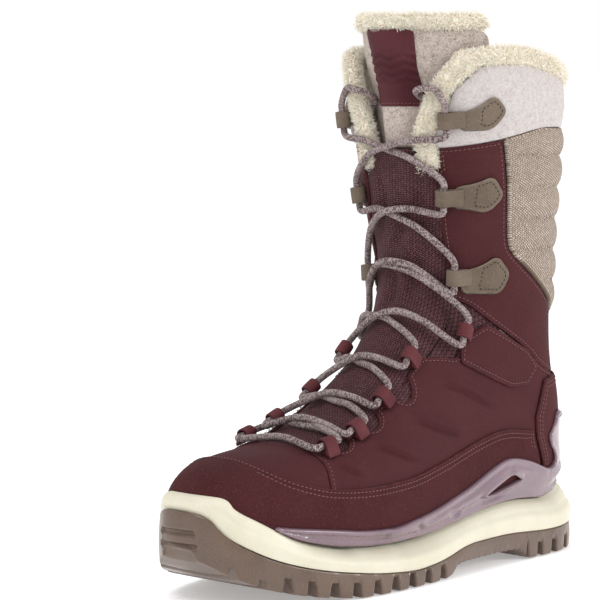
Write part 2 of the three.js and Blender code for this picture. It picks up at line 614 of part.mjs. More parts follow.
// ---- aglets on the lace ends, carrying on along the inside of the collar
for (const [name, points, side] of [['aglet_lateral', left, 1], ['aglet_medial', right, -1]]) {
  const end = points[points.length - 1];
  const way = end.clone().sub(points[points.length - 2]).normalize();
  const start = end.clone().addScaledVector(way, GAP);
  const line = new THREE.LineCurve3(start, start.clone().addScaledVector(way, AGLET_LENGTH));
  keep(name, solid(sweep(line, LACE / 2 - AGLET_WALL, 1, 10)), 'plastic');
}

const group = new THREE.Group();
group.name = 'winter_boot';
group.add(...parts);
export default group;
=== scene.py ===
"""Lined winter walking boot, left foot: the visual model on the shared frame."""
from __future__ import annotations

import logging
import math
from dataclasses import dataclass, field
from enum import Enum
from typing import Callable, Dict, List, Optional, Sequence, Tuple

import bpy
import numpy as np
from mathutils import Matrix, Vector
from mathutils.bvhtree import BVHTree

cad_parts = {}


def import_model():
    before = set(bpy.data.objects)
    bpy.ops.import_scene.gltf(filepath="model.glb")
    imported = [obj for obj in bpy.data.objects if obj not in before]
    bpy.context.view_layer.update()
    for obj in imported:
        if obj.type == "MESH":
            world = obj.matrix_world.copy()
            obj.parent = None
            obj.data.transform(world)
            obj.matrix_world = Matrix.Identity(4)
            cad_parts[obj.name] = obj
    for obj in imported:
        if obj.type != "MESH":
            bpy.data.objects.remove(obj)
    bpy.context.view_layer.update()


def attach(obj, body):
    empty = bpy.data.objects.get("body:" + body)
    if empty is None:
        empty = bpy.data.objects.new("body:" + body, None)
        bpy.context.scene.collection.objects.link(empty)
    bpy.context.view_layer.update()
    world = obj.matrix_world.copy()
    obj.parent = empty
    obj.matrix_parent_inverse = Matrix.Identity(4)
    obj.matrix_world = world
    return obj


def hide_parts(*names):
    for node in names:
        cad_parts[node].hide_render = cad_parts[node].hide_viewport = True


LOG = logging.getLogger("boot")
MM = 0.001
PI = math.pi
Array = np.ndarray
Point = Tuple[float, float]
Colour = Tuple[float, float, float]

# wall build-up, millimetres inwards from the form (negative is outwards)
GAP = 0.35
LEATHER = 1.6
OVERLAY = 1.5
STIFFENER = 0.9
LINING_OUT = LEATHER + 2 * GAP + STIFFENER
LINING = 2.4
LINING_IN = LINING_OUT + LINING
FELT_RISE = 1.2
FUR_RISE = 2.2
POCKET = -(OVERLAY + 3 * GAP)
FRAME_WALL = 1.7
LACE = 3.8
LACE_EASE = 0.9
TAIL_EASE = 1.5
TONGUE_FACE = LINING_IN + LACE + 2 * TAIL_EASE
TONGUE_FELT = 6.0
TONGUE_LEAN = 0.2
TONGUE_CROWN = 8.0
TONGUE_CROWN_WIDTH = 12.0
THROAT = 26.0

SECTIONS = np.array([
    [-247, 44, -247, 48, -3, 9, .45, 2.4, 2.2], [-245, 36, -244, 60, 15, 18, .42, 2.6, 2.2],
    [-237, 31, -236, 68, 27, 26, .4, 2.8, 2.3], [-220, 28, -217, 74, 37, 35, .4, 3, 2.4],
    [-193, 25, -188, 77, 45, 43, .4, 3.2, 2.4], [-163, 22, -160, 84, 50, 48, .38, 3.2, 2.4],
    [-132, 20, -137, 96, 50, 47, .36, 3.2, 2.3], [-95, 20, -119, 111, 47, 43, .36, 3.2, 2.2],
    [-55, 20, -104, 126, 43, 40, .38, 3, 2.2], [-15, 20, -95, 140, 41, 39, .4, 2.8, 2.2],
    [20, 22, -89, 153, 40, 40, .42, 2.6, 2.2], [33, 40, -87, 166, 40, 40, .43, 2.4, 2.2],
    [33, 72, -86, 180, 41, 41, .45, 2.3, 2.2], [25, 105, -87, 195, 44, 44, .47, 2.2, 2.2],
    [21, 140, -88, 212, 48, 48, .48, 2.2, 2.2], [20, 178, -90, 230, 51, 51, .5, 2.2, 2.2],
    [22, 215, -93, 250, 54, 54, .5, 2.2, 2.2], [25, 250, -96, 272, 55, 55, .5, 2.2, 2.2],
    [26, 285, -99, 297, 55, 55, .5, 2.2, 2.2], [26, 325, -101, 331, 55, 55, .5, 2.2, 2.2]])

# outlines in side view (y, z), millimetres
RAND_TOP = [(-226, 90), (-223, 74), (-218, 69.5), (-211, 65), (-199, 61), (-189, 58.5),
            (-172, 57), (-155, 57), (-127, 58.5), (-90, 65.5), (-60, 72.5), (-40, 75.5),
            (-13.5, 71.5)]
RAND_LOW = [(-3, 27), (-90, 25), (-150, 26), (-200, 30), (-235, 36), (-262, 42)]
VAMP_SEAM = [(-183, 100), (-182.3, 72), (-188.3, 59), (-190, 5)]
QUARTER_TOP = [(-160, 100), (-100, 118), (-83, 118.5), (-72, 116), (-62, 130), (-50, 135),
               (-17, 116.5), (-9, 109), (8, 102.5), (60, 98.5)]
SHAFT_LOW = [(-84, 152), (-65, 149), (-48, 136), (-17, 117), (-9, 109.5), (8, 103), (60, 99)]
KNIT_FRONT = [(-56, 237.9), (-50.5, 215.5), (-46, 181), (-41.5, 174), (1, 144), (18, 134),
              (60, 128)]
FELT_LOW = [(-110, 231), (-83, 233.4), (-56, 238.3), (-28, 244.3), (-7, 243.8), (60, 243.8)]
COLLAR_TOP = [(-262, 283), (-79, 285), (-58, 287.5), (-33, 286), (-4, 279), (26, 273), (60, 271)]
SOLE_TOP = [(-262, 58), (-249, 58), (-245, 56), (-243, 51), (-231, 44), (-226, 41), (-211, 33),
            (-185, 27), (-156, 24), (-112, 25), (-87, 29), (-52, 33), (-30, 34), (8, 30),
            (25, 36), (60, 41)]
SOLE_SPLIT = [(-262, 51), (-252, 50), (-247, 38.5), (-240, 32.5), (-226, 25), (-209, 19.5),
              (-191, 15.5), (-160, 11), (-130, 8.5), (-105, 10.5), (-82, 16), (-40, 16.4),
              (-5, 14), (60, 15)]
TREAD = [(-262, 32), (-252, 24), (-245, 17), (-225, 8.5), (-200, 3), (-176, 0), (-98, 0),
         (-92, 7), (-30, 7), (-26, 0), (34, 0), (40, 2), (60, 3)]
FRAME_TOP = [(-222, 41), (-190, 37), (-170, 34), (-145, 33), (-113, 38), (-76, 47), (-48, 57),
             (-37, 59), (-19.5, 55.5), (4, 47), (12, 53), (-1, 66), (7, 72.5), (9, 81),
             (22, 80), (30, 74), (60, 72)]
FRAME_WINDOW = [(-62, 41), (-57, 39.5), (-27, 45.5), (-36, 49.5)]
STRAP = [(-52, 134.5), (-68, 127), (-72, 115), (-53, 106), (-34, 98), (-20, 98.5),
         (-11.5, 108), (-20, 118)]
COUNTER = [(-3.5, 100), (-11, 79), (-9.5, 67), (-2, 52), (1, 27), (60, 27), (60, 104), (26, 104)]
FOOTBED_TOP = [(-238, 46), (-200, 39), (-163, 34.5), (-132, 33), (-95, 33), (-55, 33.5),
               (-15, 35), (10, 39), (40, 41)]
SLIT = [(17, 200), (17, 240), (24, 256), (27, 264), (42, 284), (60, 300)]
FUR_BAND, FUR_EDGE, FUR_LOW = 7.5, 11.0, 222.0
SOLE_PLAN = [(-4, -256), (14, -253), (28, -244), (39, -226), (49, -196), (54.5, -165),
             (54.5, -132), (51, -95), (47, -55), (45.5, -15), (42, 14), (29, 33), (0, 39),
             (-28, 33), (-40, 14), (-43, -15), (-43.5, -55), (-46.5, -95), (-51.5, -132),
             (-52.5, -165), (-47, -196), (-38, -226), (-28, -242), (-16, -253)]
CREASES = [[(-97, 104), (-84, 103.5), (-68, 97), (-54, 89.5), (-39, 89)],
           [(-122, 87), (-112, 86), (-99, 80.5), (-82, 76), (-67, 78)],
           [(-154, 76), (-146, 75.5), (-138, 72), (-127, 67.5), (-116, 68)],
           [(-179, 69.5), (-175, 68.5), (-172, 66), (-167, 63.5), (-161, 63)]]
FRAME_RIB = [(-150, 30), (-112, 32), (-70, 41), (-40, 53), (-18, 48), (6, 42), (30, 48)]
FRAME_CUTS = [[(-128, 33), (-121, 29)], [(-101, 36), (-88, 33), (-84, 37)],
              [(-70, 38), (-52, 37.5), (-40, 40)]]
TONGUE_FOLDS = [[(-13, 226), (-9, 205), (-12, 185)], [(9, 205), (3, 190), (-2, 172)],
                [(14, 176), (10, 160), (12, 146)], [(-4, 170), (2, 158), (-3, 140)],
                [(17, 224), (15, 200), (18, 182)]]
# section position and angle from the front centre line, degrees
LOOPS = [(4.45, 32.0), (5.3, 30.0), (6.45, 27.5), (7.9, 28.0), (10.1, 49.0)]
TABS = [(11.7, 41.0), (14.0, 34.0), (16.05, 35.5)]
TAB_PLATES = [
    [(-68, 165), (-60, 167.5), (-52, 173.5), (-42, 163), (-46, 151.5), (-58, 152.5), (-68, 153)],
    [(-78, 212), (-70, 213.5), (-61, 218), (-53, 207), (-61, 197.5), (-70, 199.5), (-78, 201)],
    [(-82, 252.5), (-74, 256), (-66, 262.5), (-58, 253.5), (-66, 243.5), (-74, 243), (-82, 243)]]


# ------------------------------------------------------------------ finishes
class Texture(Enum):
    """The surface pattern a finish carries."""

    GRAIN = "grain"
    FELT = "felt"
    KNIT = "knit"
    MESH = "mesh"
    RIB = "rib"
    BRAID = "braid"
    MOULDED = "moulded"
    FLEECE = "fleece"
    STRAND = "strand"
    BRUSHED = "brushed"


def vec(point: Sequence[float]) -> Tuple[float, float, float, float]:
    """Return a colour with full alpha."""
    return (point[0], point[1], point[2], 1.0)


class Wiring:
    """Adds and links nodes of one tree."""

    def __init__(self, tree: bpy.types.NodeTree) -> None:
        """Keep the tree."""
        self.tree = tree

    def add(self, kind: str, inputs: Optional[Dict[object, object]] = None,
            **settings: object) -> bpy.types.Node:
        """Add one node.

        Args:
            kind: the node's type name.
            inputs: socket name or number to a value, or to a socket to link from.
            settings: the node's own settings.

        Returns:
            The node.
        """
        node = self.tree.nodes.new(kind)
        for key, value in settings.items():
            setattr(node, key, value)
        for key, value in (inputs or {}).items():
            if isinstance(value, bpy.types.NodeSocket):
                self.tree.links.new(value, node.inputs[key])
            else:
                node.inputs[key].default_value = value
        return node

    def math(self, operation: str, a: object, b: object = 0.0,
             c: object = 0.0) -> bpy.types.NodeSocket:
        """Add a Math node and return its output."""
        node = self.add("ShaderNodeMath", {0: a, 1: b, 2: c}, operation=operation)
        return node.outputs[0]

    def mix(self, factor: object, a: object, b: object,
            blend: str = "MIX") -> bpy.types.NodeSocket:
        """Add a colour Mix node and return its output.

        Args:
            factor: how much of the second colour shows.
            a: first colour or socket.
            b: second colour or socket.
            blend: blend mode.

        Returns:
            The colour output.
        """
        node = self.add("ShaderNodeMix", data_type="RGBA", blend_type=blend)
        for index, value in ((0, factor), (6, a), (7, b)):
            if isinstance(value, bpy.types.NodeSocket):
                self.tree.links.new(value, node.inputs[index])
            else:
                node.inputs[index].default_value = value
        return node.outputs[2]

    def noise(self, vector: bpy.types.NodeSocket, size: float, detail: float = 3.0,
              rough: float = 0.55, distort: float = 0.0) -> bpy.types.NodeSocket:
        """Add noise whose features are about size millimetres across.

        Args:
            vector: where the noise is read.
            size: width of a feature, millimetres.
            detail: finer layers.
            rough: strength of the finer layers.
            distort: how far it is bent.

        Returns:
            The value output.
        """
        return self.add("ShaderNodeTexNoise", {
            "Vector": vector, "Scale": 1 / (size * MM), "Detail": detail, "Roughness": rough,
            "Distortion": distort}).outputs[0]

    def ramp(self, value: bpy.types.NodeSocket, low: float, high: float) -> bpy.types.NodeSocket:
        """Spread a value so that low gives 0 and high gives 1."""
        return self.add("ShaderNodeMapRange", {0: value, 1: low, 2: high, 3: 0.0, 4: 1.0},
                        interpolation_type="SMOOTHSTEP").outputs[0]


def group_sockets(tree: bpy.types.NodeTree, inputs: Sequence[Tuple[str, str]],
                  outputs: Sequence[Tuple[str, str]]) -> None:
    """Name the sockets of a node group.

    Args:
        tree: the group.
        inputs: names and socket types taken in.
        outputs: names and socket types given out.
    """
    for name, kind in inputs:
        tree.interface.new_socket(name=name, in_out="INPUT", socket_type=kind)
    for name, kind in outputs:
        tree.interface.new_socket(name=name, in_out="OUTPUT", socket_type=kind)


def bead_group() -> bpy.types.NodeTree:
    """Return the shared group that lays slanted beads of yarn like bricks.

    Returns:
        A group with the bead's height, and a value that differs from bead to bead.
    """
    tree = bpy.data.node_groups.get("yarn_beads")
    if tree:
        return tree
    tree = bpy.data.node_groups.new("yarn_beads", "ShaderNodeTree")
    group_sockets(tree, [("Vector", "NodeSocketVector"), ("Wale", "NodeSocketFloat"),
                         ("Course", "NodeSocketFloat"), ("Slant", "NodeSocketFloat"),
                         ("Stagger", "NodeSocketFloat")],
                  [("Height", "NodeSocketFloat"), ("Bead", "NodeSocketFloat")])
    w = Wiring(tree)
    ins = w.add("NodeGroupInput").outputs
    xyz = w.add("ShaderNodeSeparateXYZ", {0: ins["Vector"]}).outputs
    v = w.math("DIVIDE", xyz[1], ins["Course"])
    row = w.math("FLOOR", v)
    odd = w.math("FLOORED_MODULO", row, 2.0)
    fv = w.math("FRACT", v)
    side = w.math("MULTIPLY_ADD", odd, 2.0, -1.0)
    lean = w.math("MULTIPLY", w.math("MULTIPLY", fv, ins["Slant"]), side)
    u = w.math("ADD", w.math("DIVIDE", xyz[0], ins["Wale"]),
               w.math("MULTIPLY_ADD", odd, ins["Stagger"], lean))
    a = w.math("MULTIPLY_ADD", w.math("FRACT", u), 2.0, -1.0)
    b = w.math("MULTIPLY_ADD", fv, 2.0, -1.0)
    rim = w.math("MULTIPLY_ADD", a, a, w.math("MULTIPLY", b, b))
    height = w.math("MAXIMUM", w.math("SUBTRACT", 1.0, rim), 0.0)
    bead = w.add("ShaderNodeTexWhiteNoise", {
        0: w.add("ShaderNodeCombineXYZ", {0: w.math("FLOOR", u), 1: row}).outputs[0]},
        noise_dimensions="2D").outputs[0]
    w.add("NodeGroupOutput", {"Height": height, "Bead": bead})
    return tree


def wear_group() -> bpy.types.NodeTree:
    """Return the shared group that lightens cut and rubbed edges.

    Returns:
        The group, built once.
    """
    tree = bpy.data.node_groups.get("edge_wear")
    if tree:
        return tree
    tree = bpy.data.node_groups.new("edge_wear", "ShaderNodeTree")
    group_sockets(tree, [("Base", "NodeSocketColor"), ("Worn", "NodeSocketColor"),
                         ("Vector", "NodeSocketVector"), ("Amount", "NodeSocketFloat")],
                  [("Color", "NodeSocketColor"), ("Edge", "NodeSocketFloat")])
    w = Wiring(tree)
    ins = w.add("NodeGroupInput").outputs
    edge = w.add("ShaderNodeAttribute", attribute_name="edge").outputs["Fac"]
    near = w.math("SUBTRACT", 1.0, w.ramp(edge, 0.1, 1.1))
    patchy = w.ramp(w.noise(ins["Vector"], 5.0), 0.3, 0.75)
    share = w.math("MULTIPLY", w.math("MULTIPLY", near, patchy), ins["Amount"])
    w.add("NodeGroupOutput", {"Color": w.mix(share, ins["Base"], ins["Worn"]), "Edge": near})
    return tree


def place_group(w: Wiring, node: bpy.types.Node, vector: bpy.types.NodeSocket,
                **values: float) -> None:
    """Set a placed group's values and link the coordinates it reads."""
    for key, value in values.items():
        node.inputs[key].default_value = value
    w.tree.links.new(vector, node.inputs["Vector"])


@dataclass(frozen=True)
class Finish:
    """One material: its colours, pattern and how it takes light."""

    name: str
    texture: Texture
    base: Colour
    dark: Colour
    light: Colour
    roughness: float
    depth: float = 0.1
    size: float = 0.5
    sheen: float = 0.0
    coat: float = 0.0
    wear: float = 0.0
    soft: float = 0.0
    metal: float = 0.0

    def material(self) -> bpy.types.Material:
        """Return the material, built once.

        Returns:
            The material.
        """
        label = "boot_" + self.name
        made = bpy.data.materials.get(label)
        if made:
            return made
        made = bpy.data.materials.new(label)
        made.use_nodes = True
        made.diffuse_color = vec(self.base)
        tree = made.node_tree
        tree.nodes.clear()
        w = Wiring(tree)
        where = w.add("ShaderNodeTexCoord").outputs
        colour, rough, height = self.pattern(w, where["Object"], where["UV"])
        shader = w.add("ShaderNodeBsdfPrincipled", {"Base Color": colour, "Roughness": rough})
        shader.inputs["Metallic"].default_value = self.metal
        shader.inputs["Sheen Weight"].default_value = self.sheen
        shader.inputs["Sheen Roughness"].default_value = 0.5
        shader.inputs["Sheen Tint"].default_value = vec(self.light)
        shader.inputs["Coat Weight"].default_value = self.coat
        shader.inputs["Coat Roughness"].default_value = 0.2
        shader.inputs["Subsurface Weight"].default_value = self.soft
        shader.inputs["Subsurface Scale"].default_value = 0.003
        if self.sheen:
            shader.inputs["Specular IOR Level"].default_value = 0.25
        bump = w.add("ShaderNodeBump", {"Height": height, "Distance": self.depth * MM})
        tree.links.new(bump.outputs[0], shader.inputs["Normal"])
        w.add("ShaderNodeOutputMaterial", {"Surface": shader.outputs[0]})
        return made

    def pattern(self, w: Wiring, where: bpy.types.NodeSocket, uv: bpy.types.NodeSocket
                ) -> Tuple[bpy.types.NodeSocket, bpy.types.NodeSocket, bpy.types.NodeSocket]:
        """Wire the pattern.

        Args:
            w: the wiring of the material's tree.
            where: object coordinates in metres.
            uv: lengths along the surface in metres.

        Returns:
            Colour, roughness and height sockets.
        """
        broad = w.ramp(w.noise(where, 22.0, 2.0), 0.3, 0.7)
        fine = w.noise(where, self.size, 4.0, 0.6)
        colour = w.mix(broad, vec(self.base), vec(self.dark))
        height = fine
        if self.texture is Texture.GRAIN:
            cells = w.add("ShaderNodeTexVoronoi", {"Vector": where,
                                                   "Scale": 1 / (self.size * 2.4 * MM)}).outputs[0]
            nap = w.ramp(w.noise(where, self.size * 1.3, 2.0), 0.52, 0.8)
            colour = w.mix(w.math("MULTIPLY", nap, 0.55), colour, vec(self.light))
            height = w.math("MULTIPLY_ADD", cells, 0.6, fine)
        elif self.texture is Texture.FELT:
            streak = w.noise(where, 3.2, 5.0, 0.8, 0.3)
            fleck = w.noise(where, 0.9, 4.0, 0.75, 0.8)
            colour = w.mix(w.ramp(streak, 0.4, 0.7), vec(self.base), vec(self.dark))
            colour = w.mix(w.ramp(fleck, 0.47, 0.62), colour, vec(self.light))
            height = w.math("MULTIPLY_ADD", fleck, 0.8, w.noise(where, 0.45, 3.0, 0.7, 1.2))
        elif self.texture in (Texture.KNIT, Texture.MESH):
            knit = self.texture is Texture.KNIT
            beads = w.add("ShaderNodeGroup", node_tree=bead_group())
            place_group(w, beads, uv, Wale=self.size * MM, Course=self.size * MM * 0.62,
                        Slant=0.55, Stagger=0.35)
            # painted shade: the dark colour fills the low gaps between the yarn beads, where shade
            # falls; the bead tones are the yarn's own
            deep = w.ramp(beads.outputs["Height"], 0.0, 0.55 if knit else 0.7)
            tone = w.mix(beads.outputs["Bead"], vec(self.base), vec(self.light))
            colour = w.mix(deep, vec(self.dark), tone)
            height = w.math("MULTIPLY_ADD", fine, 0.25, beads.outputs["Height"])
        elif self.texture is Texture.RIB:
            rib = w.add("ShaderNodeTexWave", {"Vector": uv, "Scale": 1 / (self.size * MM) / 3.1,
                                              "Distortion": 0.6, "Detail Scale": 2.0},
                        bands_direction="X").outputs[1]
            # painted shade: the rib grooves are coloured dark and the crests base, following the rib's
            # height
            colour = w.mix(w.ramp(rib, 0.2, 0.8), vec(self.dark), vec(self.base))
            colour = w.mix(w.math("MULTIPLY", broad, 0.4), colour, vec(self.light))
            height = w.math("MULTIPLY_ADD", fine, 0.3, rib)
        elif self.texture is Texture.BRAID:
            yarn = w.add("ShaderNodeGroup", node_tree=bead_group())
            place_group(w, yarn, uv, Wale=0.083, Course=0.62 * MM, Slant=1.0, Stagger=0.5)
            dye = w.math("GREATER_THAN", yarn.outputs["Bead"], 0.52)
            tone = w.mix(dye, vec(self.light), vec(self.dark))
            # painted shade: the low places between the yarns are coloured dark; the dye split above is
            # the yarn's own two tones
            colour = w.mix(w.ramp(yarn.outputs["Height"], 0.0, 0.45), vec(self.dark), tone)
            colour = w.mix(w.math("MULTIPLY", broad, 0.3), colour, vec(self.base))
            height = w.math("MULTIPLY_ADD", fine, 0.2, yarn.outputs["Height"])
        elif self.texture in (Texture.FLEECE, Texture.STRAND):
            clump = w.noise(where, 3.0, 4.0, 0.65, 1.0)
            # painted shade: the hollows between the fibre clumps are coloured dark, following the clump
            # height
            colour = w.mix(w.ramp(clump, 0.35, 0.7), vec(self.dark), vec(self.base))
            colour = w.mix(w.ramp(fine, 0.5, 0.8), colour, vec(self.light))
            height = w.math("MULTIPLY_ADD", clump, 1.2, fine)
        elif self.texture is Texture.MOULDED:
            colour = w.mix(w.ramp(fine, 0.45, 0.8), colour, vec(self.light))
        else:
            along = w.add("ShaderNodeMapping", {"Vector": where, "Scale": (8, 0.5, 8)}).outputs[0]
            height = w.noise(along, self.size, 3.0)
            colour = w.mix(w.ramp(height, 0.3, 0.7), vec(self.dark), vec(self.light))
        if self.wear:
            worn = w.add("ShaderNodeGroup", node_tree=wear_group())
            worn.inputs["Worn"].default_value = vec(self.light)
            worn.inputs["Amount"].default_value = self.wear
            w.tree.links.new(colour, worn.inputs["Base"])
            w.tree.links.new(where, worn.inputs["Vector"])
            colour = worn.outputs["Color"]
        rough = w.math("MULTIPLY_ADD", fine, 0.16, self.roughness - 0.08)
        return colour, rough, height


# The dark colour of MESH, KNIT, FUR, FLEECE, WEBBING, LABEL and CORD is also painted shade, laid in the
# low gaps of their patterns.
NUBUCK = Finish("nubuck", Texture.GRAIN, (.060, .0122, .0145), (.052, .0105, .0125),
                (.125, .036, .038), .85, .09, .45, sheen=.05, wear=.55)
SUEDE = Finish("suede", Texture.GRAIN, (.056, .0115, .0130), (.047, .0095, .011),
               (.15, .045, .042), .95, .2, .7, sheen=.05, wear=.4)
MESH = Finish("airmesh", Texture.MESH, (.105, .036, .042), (.018, .005, .007),
              (.17, .07, .077), .75, .5, 1.9, sheen=.05)
FELT = Finish("wool_felt", Texture.FELT, (.57, .52, .505), (.44, .375, .355), (.66, .62, .61),
              .97, .35, .5, sheen=.1)
FELT_BROWN = Finish("wool_felt_tongue", Texture.FELT, (.50, .42, .37), (.27, .195, .15),
                    (.66, .60, .56), .97, .35, .5, sheen=.1)
KNIT = Finish("knit_yarn", Texture.KNIT, (.40, .32, .265), (.17, .125, .09), (.56, .48, .42),
              .92, .4, 1.35, sheen=.05)
FUR = Finish("fur_fibre", Texture.STRAND, (.93, .87, .76), (.87, .79, .65), (.96, .93, .86),
             .95, .2, 1.0, sheen=.1, soft=.1)
FLEECE = Finish("fleece_lining", Texture.FLEECE, (.86, .79, .66), (.68, .59, .46),
                (.93, .89, .80), .97, 1.1, .9, sheen=.1)
FRAME = Finish("frame_plastic", Texture.MOULDED, (.19, .118, .145), (.15, .09, .115),
               (.24, .155, .185), .24, .03, .6, coat=.7, soft=.05)
FOAM = Finish("midsole_foam", Texture.MOULDED, (.69, .65, .52), (.64, .60, .46),
              (.75, .72, .60), .5, .05, .5, soft=.08)
RUBBER = Finish("outsole_rubber", Texture.MOULDED, (.120, .072, .044), (.088, .05, .03),
                (.17, .105, .068), .36, .05, .7, coat=.4, soft=.3)
WEBBING = Finish("loop_webbing", Texture.RIB, (.12, .024, .03), (.06, .01, .014),
                 (.19, .055, .06), .7, .22, 1.0, sheen=.05)
LABEL = Finish("woven_label", Texture.RIB, (.085, .016, .021), (.045, .008, .012),
               (.12, .03, .036), .74, .15, .7, sheen=.05)
TAB = Finish("tab_suede", Texture.GRAIN, (.155, .118, .088), (.12, .09, .066),
             (.26, .215, .17), .93, .16, .6, sheen=.05, wear=.6)
CORD = Finish("lace_braid", Texture.BRAID, (.42, .34, .33), (.14, .09, .09),
              (.58, .50, .48), .85, .3, .4, sheen=.05)
THREAD = Finish("seam_thread", Texture.BRUSHED, (.15, .055, .058), (.10, .034, .036),
                (.23, .10, .10), .7, .05, .3)
THREAD_DARK = Finish("tab_thread", Texture.BRUSHED, (.02, .014, .012), (.014, .01, .008),
                     (.045, .03, .026), .7, .05, .3)
BOARD = Finish("fibre_board", Texture.FELT, (.3, .24, .16), (.2, .15, .1), (.4, .33, .24),
               .9, .1, .5)
STEEL = Finish("shank_steel", Texture.BRUSHED, (.5, .5, .5), (.36, .36, .36), (.6, .6, .6),
               .35, .02, .3, metal=1.0)
PLASTIC = Finish("aglet_plastic", Texture.MOULDED, (.5, .44, .42), (.4, .34, .32),
                 (.62, .56, .54), .3, .02, .5, coat=.4)


# ------------------------------------------------------------------ the form
class BootForm:
    """The closed shape of the foot and shaft that every upper piece follows."""

    last = len(SECTIONS) - 1
    nose = ([0, 1, 2, 3, 4], [1, .85, .5, .2, 0])

    def rows(self, t: Array) -> Array:
        """Return the section values at t, smoothly between the rows.

        Args:
            t: section positions.

        Returns:
            One row of section values for each position.
        """
        padded = np.vstack([2 * SECTIONS[0] - SECTIONS[1], SECTIONS,
                            2 * SECTIONS[-1] - SECTIONS[-2]])
        t = np.clip(t, 0, self.last)
        i = np.minimum(t.astype(int), self.last - 1)
        f = (t - i)[..., None]
        a, b, c, d = padded[i], padded[i + 1], padded[i + 2], padded[i + 3]
        return .5 * (2 * b + (c - a) * f + (2 * a - 5 * b + 4 * c - d) * f ** 2
                     + (3 * b - a - 3 * c + d) * f ** 3)

    def place(self, t: Array, across: Array, down: Array, inset: object) -> Array:
        """Return points of the form.

        Args:
            t: section position; below 0 it closes the toe tip.
            across: -1 on the inner side to 1 on the outer side.
            down: 1 at the bottom or back to -1 at the top or front.
            inset: distance inwards, millimetres.

        Returns:
            Points in millimetres.
        """
        t = np.asarray(t, float)
        yb, zb, yf, zf, wo, wi, mid, _, _ = np.moveaxis(self.rows(t), -1, 0)
        k = np.interp(t, *self.nose)
        inset = np.asarray(inset, float) + 0 * t
        side = inset * np.sqrt(1 - k * k)
        ry, rz = yf - yb, zf - zb
        step = np.minimum(side / np.hypot(ry, rz), .45)
        rise = np.where(down > 0, mid * (1 - down), mid - (1 - mid) * down)
        rise = step + rise * (1 - 2 * step)
        x = (wo - wi) / 2 + ((wo + wi) / 2 - side) * across
        y = yb + ry * rise + k * inset
        z = zb + rz * rise
        close = np.clip(1 + t, 0, 1)
        x = (wo - wi) / 2 * (1 - close) + x * close
        y0, z0 = yb + ry * .5 + k * inset, zb + rz * .5
        return np.stack([x, y0 + (y - y0) * close, z0 + (z - z0) * close], -1)

    def polar(self, t: Array, theta: Array, inset: object = 0.0) -> Array:
        """Return points by the even angle theta: 0 at the bottom, PI at the top.

        Args:
            t: section positions.
            theta: angles.
            inset: millimetres inwards.

        Returns:
            Points, millimetres.
        """
        t = np.asarray(t, float)
        rows = self.rows(t)
        c, s = np.cos(theta), np.sin(theta)
        n = np.where(c > 0, rows[..., 7], rows[..., 8])
        r = (np.abs(c) ** n + np.abs(s) ** n) ** (-1 / n)
        return self.place(t, s * r, c * r, inset)

    def turned(self, t: float, turn: float, inset: float = 0.0) -> Array:
        """Return one point by the section's own turn, as the lacing is laid out.

        Args:
            t: section position.
            turn: angle round the section.
            inset: millimetres inwards.

        Returns:
            One point, millimetres.
        """
        rows = self.rows(np.array(float(t)))
        c, s = math.cos(turn), math.sin(turn)
        n = rows[7] if c > 0 else rows[8]
        across = math.copysign(abs(s) ** (2 / n), s)
        down = math.copysign(abs(c) ** (2 / n), c)
        return self.place(np.array(float(t)), np.array(across), np.array(down), inset)


FORM = BootForm()


def lean(points: Array) -> Array:
    """Lean the upper tongue forward above the collar front and crown its middle.

    Args:
        points: points, millimetres.

    Returns:
        The moved points.
    """
    out = points.copy()
    crown = np.exp(-(points[..., 0] / TONGUE_CROWN_WIDTH) ** 4) * (points[..., 1] < 0)
    out[..., 1] -= np.maximum(0, points[..., 2] - 262) * TONGUE_LEAN + crown * TONGUE_CROWN
    return out


# ------------------------------------------------------------------ outlines
def soften(points: Sequence[Point], reach: float = 5.0, rounds: int = 3,
           closed: bool = False) -> List[Point]:
    """Round the corners of an outline.

    Args:
        points: corners.
        reach: how far along each side a corner is cut, at most.
        rounds: how many times the corners are cut.
        closed: whether the last point joins the first.

    Returns:
        More points along the softened line.
    """
    line = [np.array(p, float) for p in points]
    for _ in range(rounds):
        out = [] if closed else [line[0]]
        count = len(line)
        for i in range(count if closed else count - 1):
            a, b = line[i], line[(i + 1) % count]
            length = max(float(np.linalg.norm(b - a)), 1e-6)
            f = min(.25, reach / length)
            if closed or i > 0:
                out.append(a + (b - a) * f)
            if closed or i < count - 2:
                out.append(b - (b - a) * f)
        if not closed:
            out.append(line[-1])
        line = out
        reach *= .5
    return [(float(p[0]), float(p[1])) for p in line]


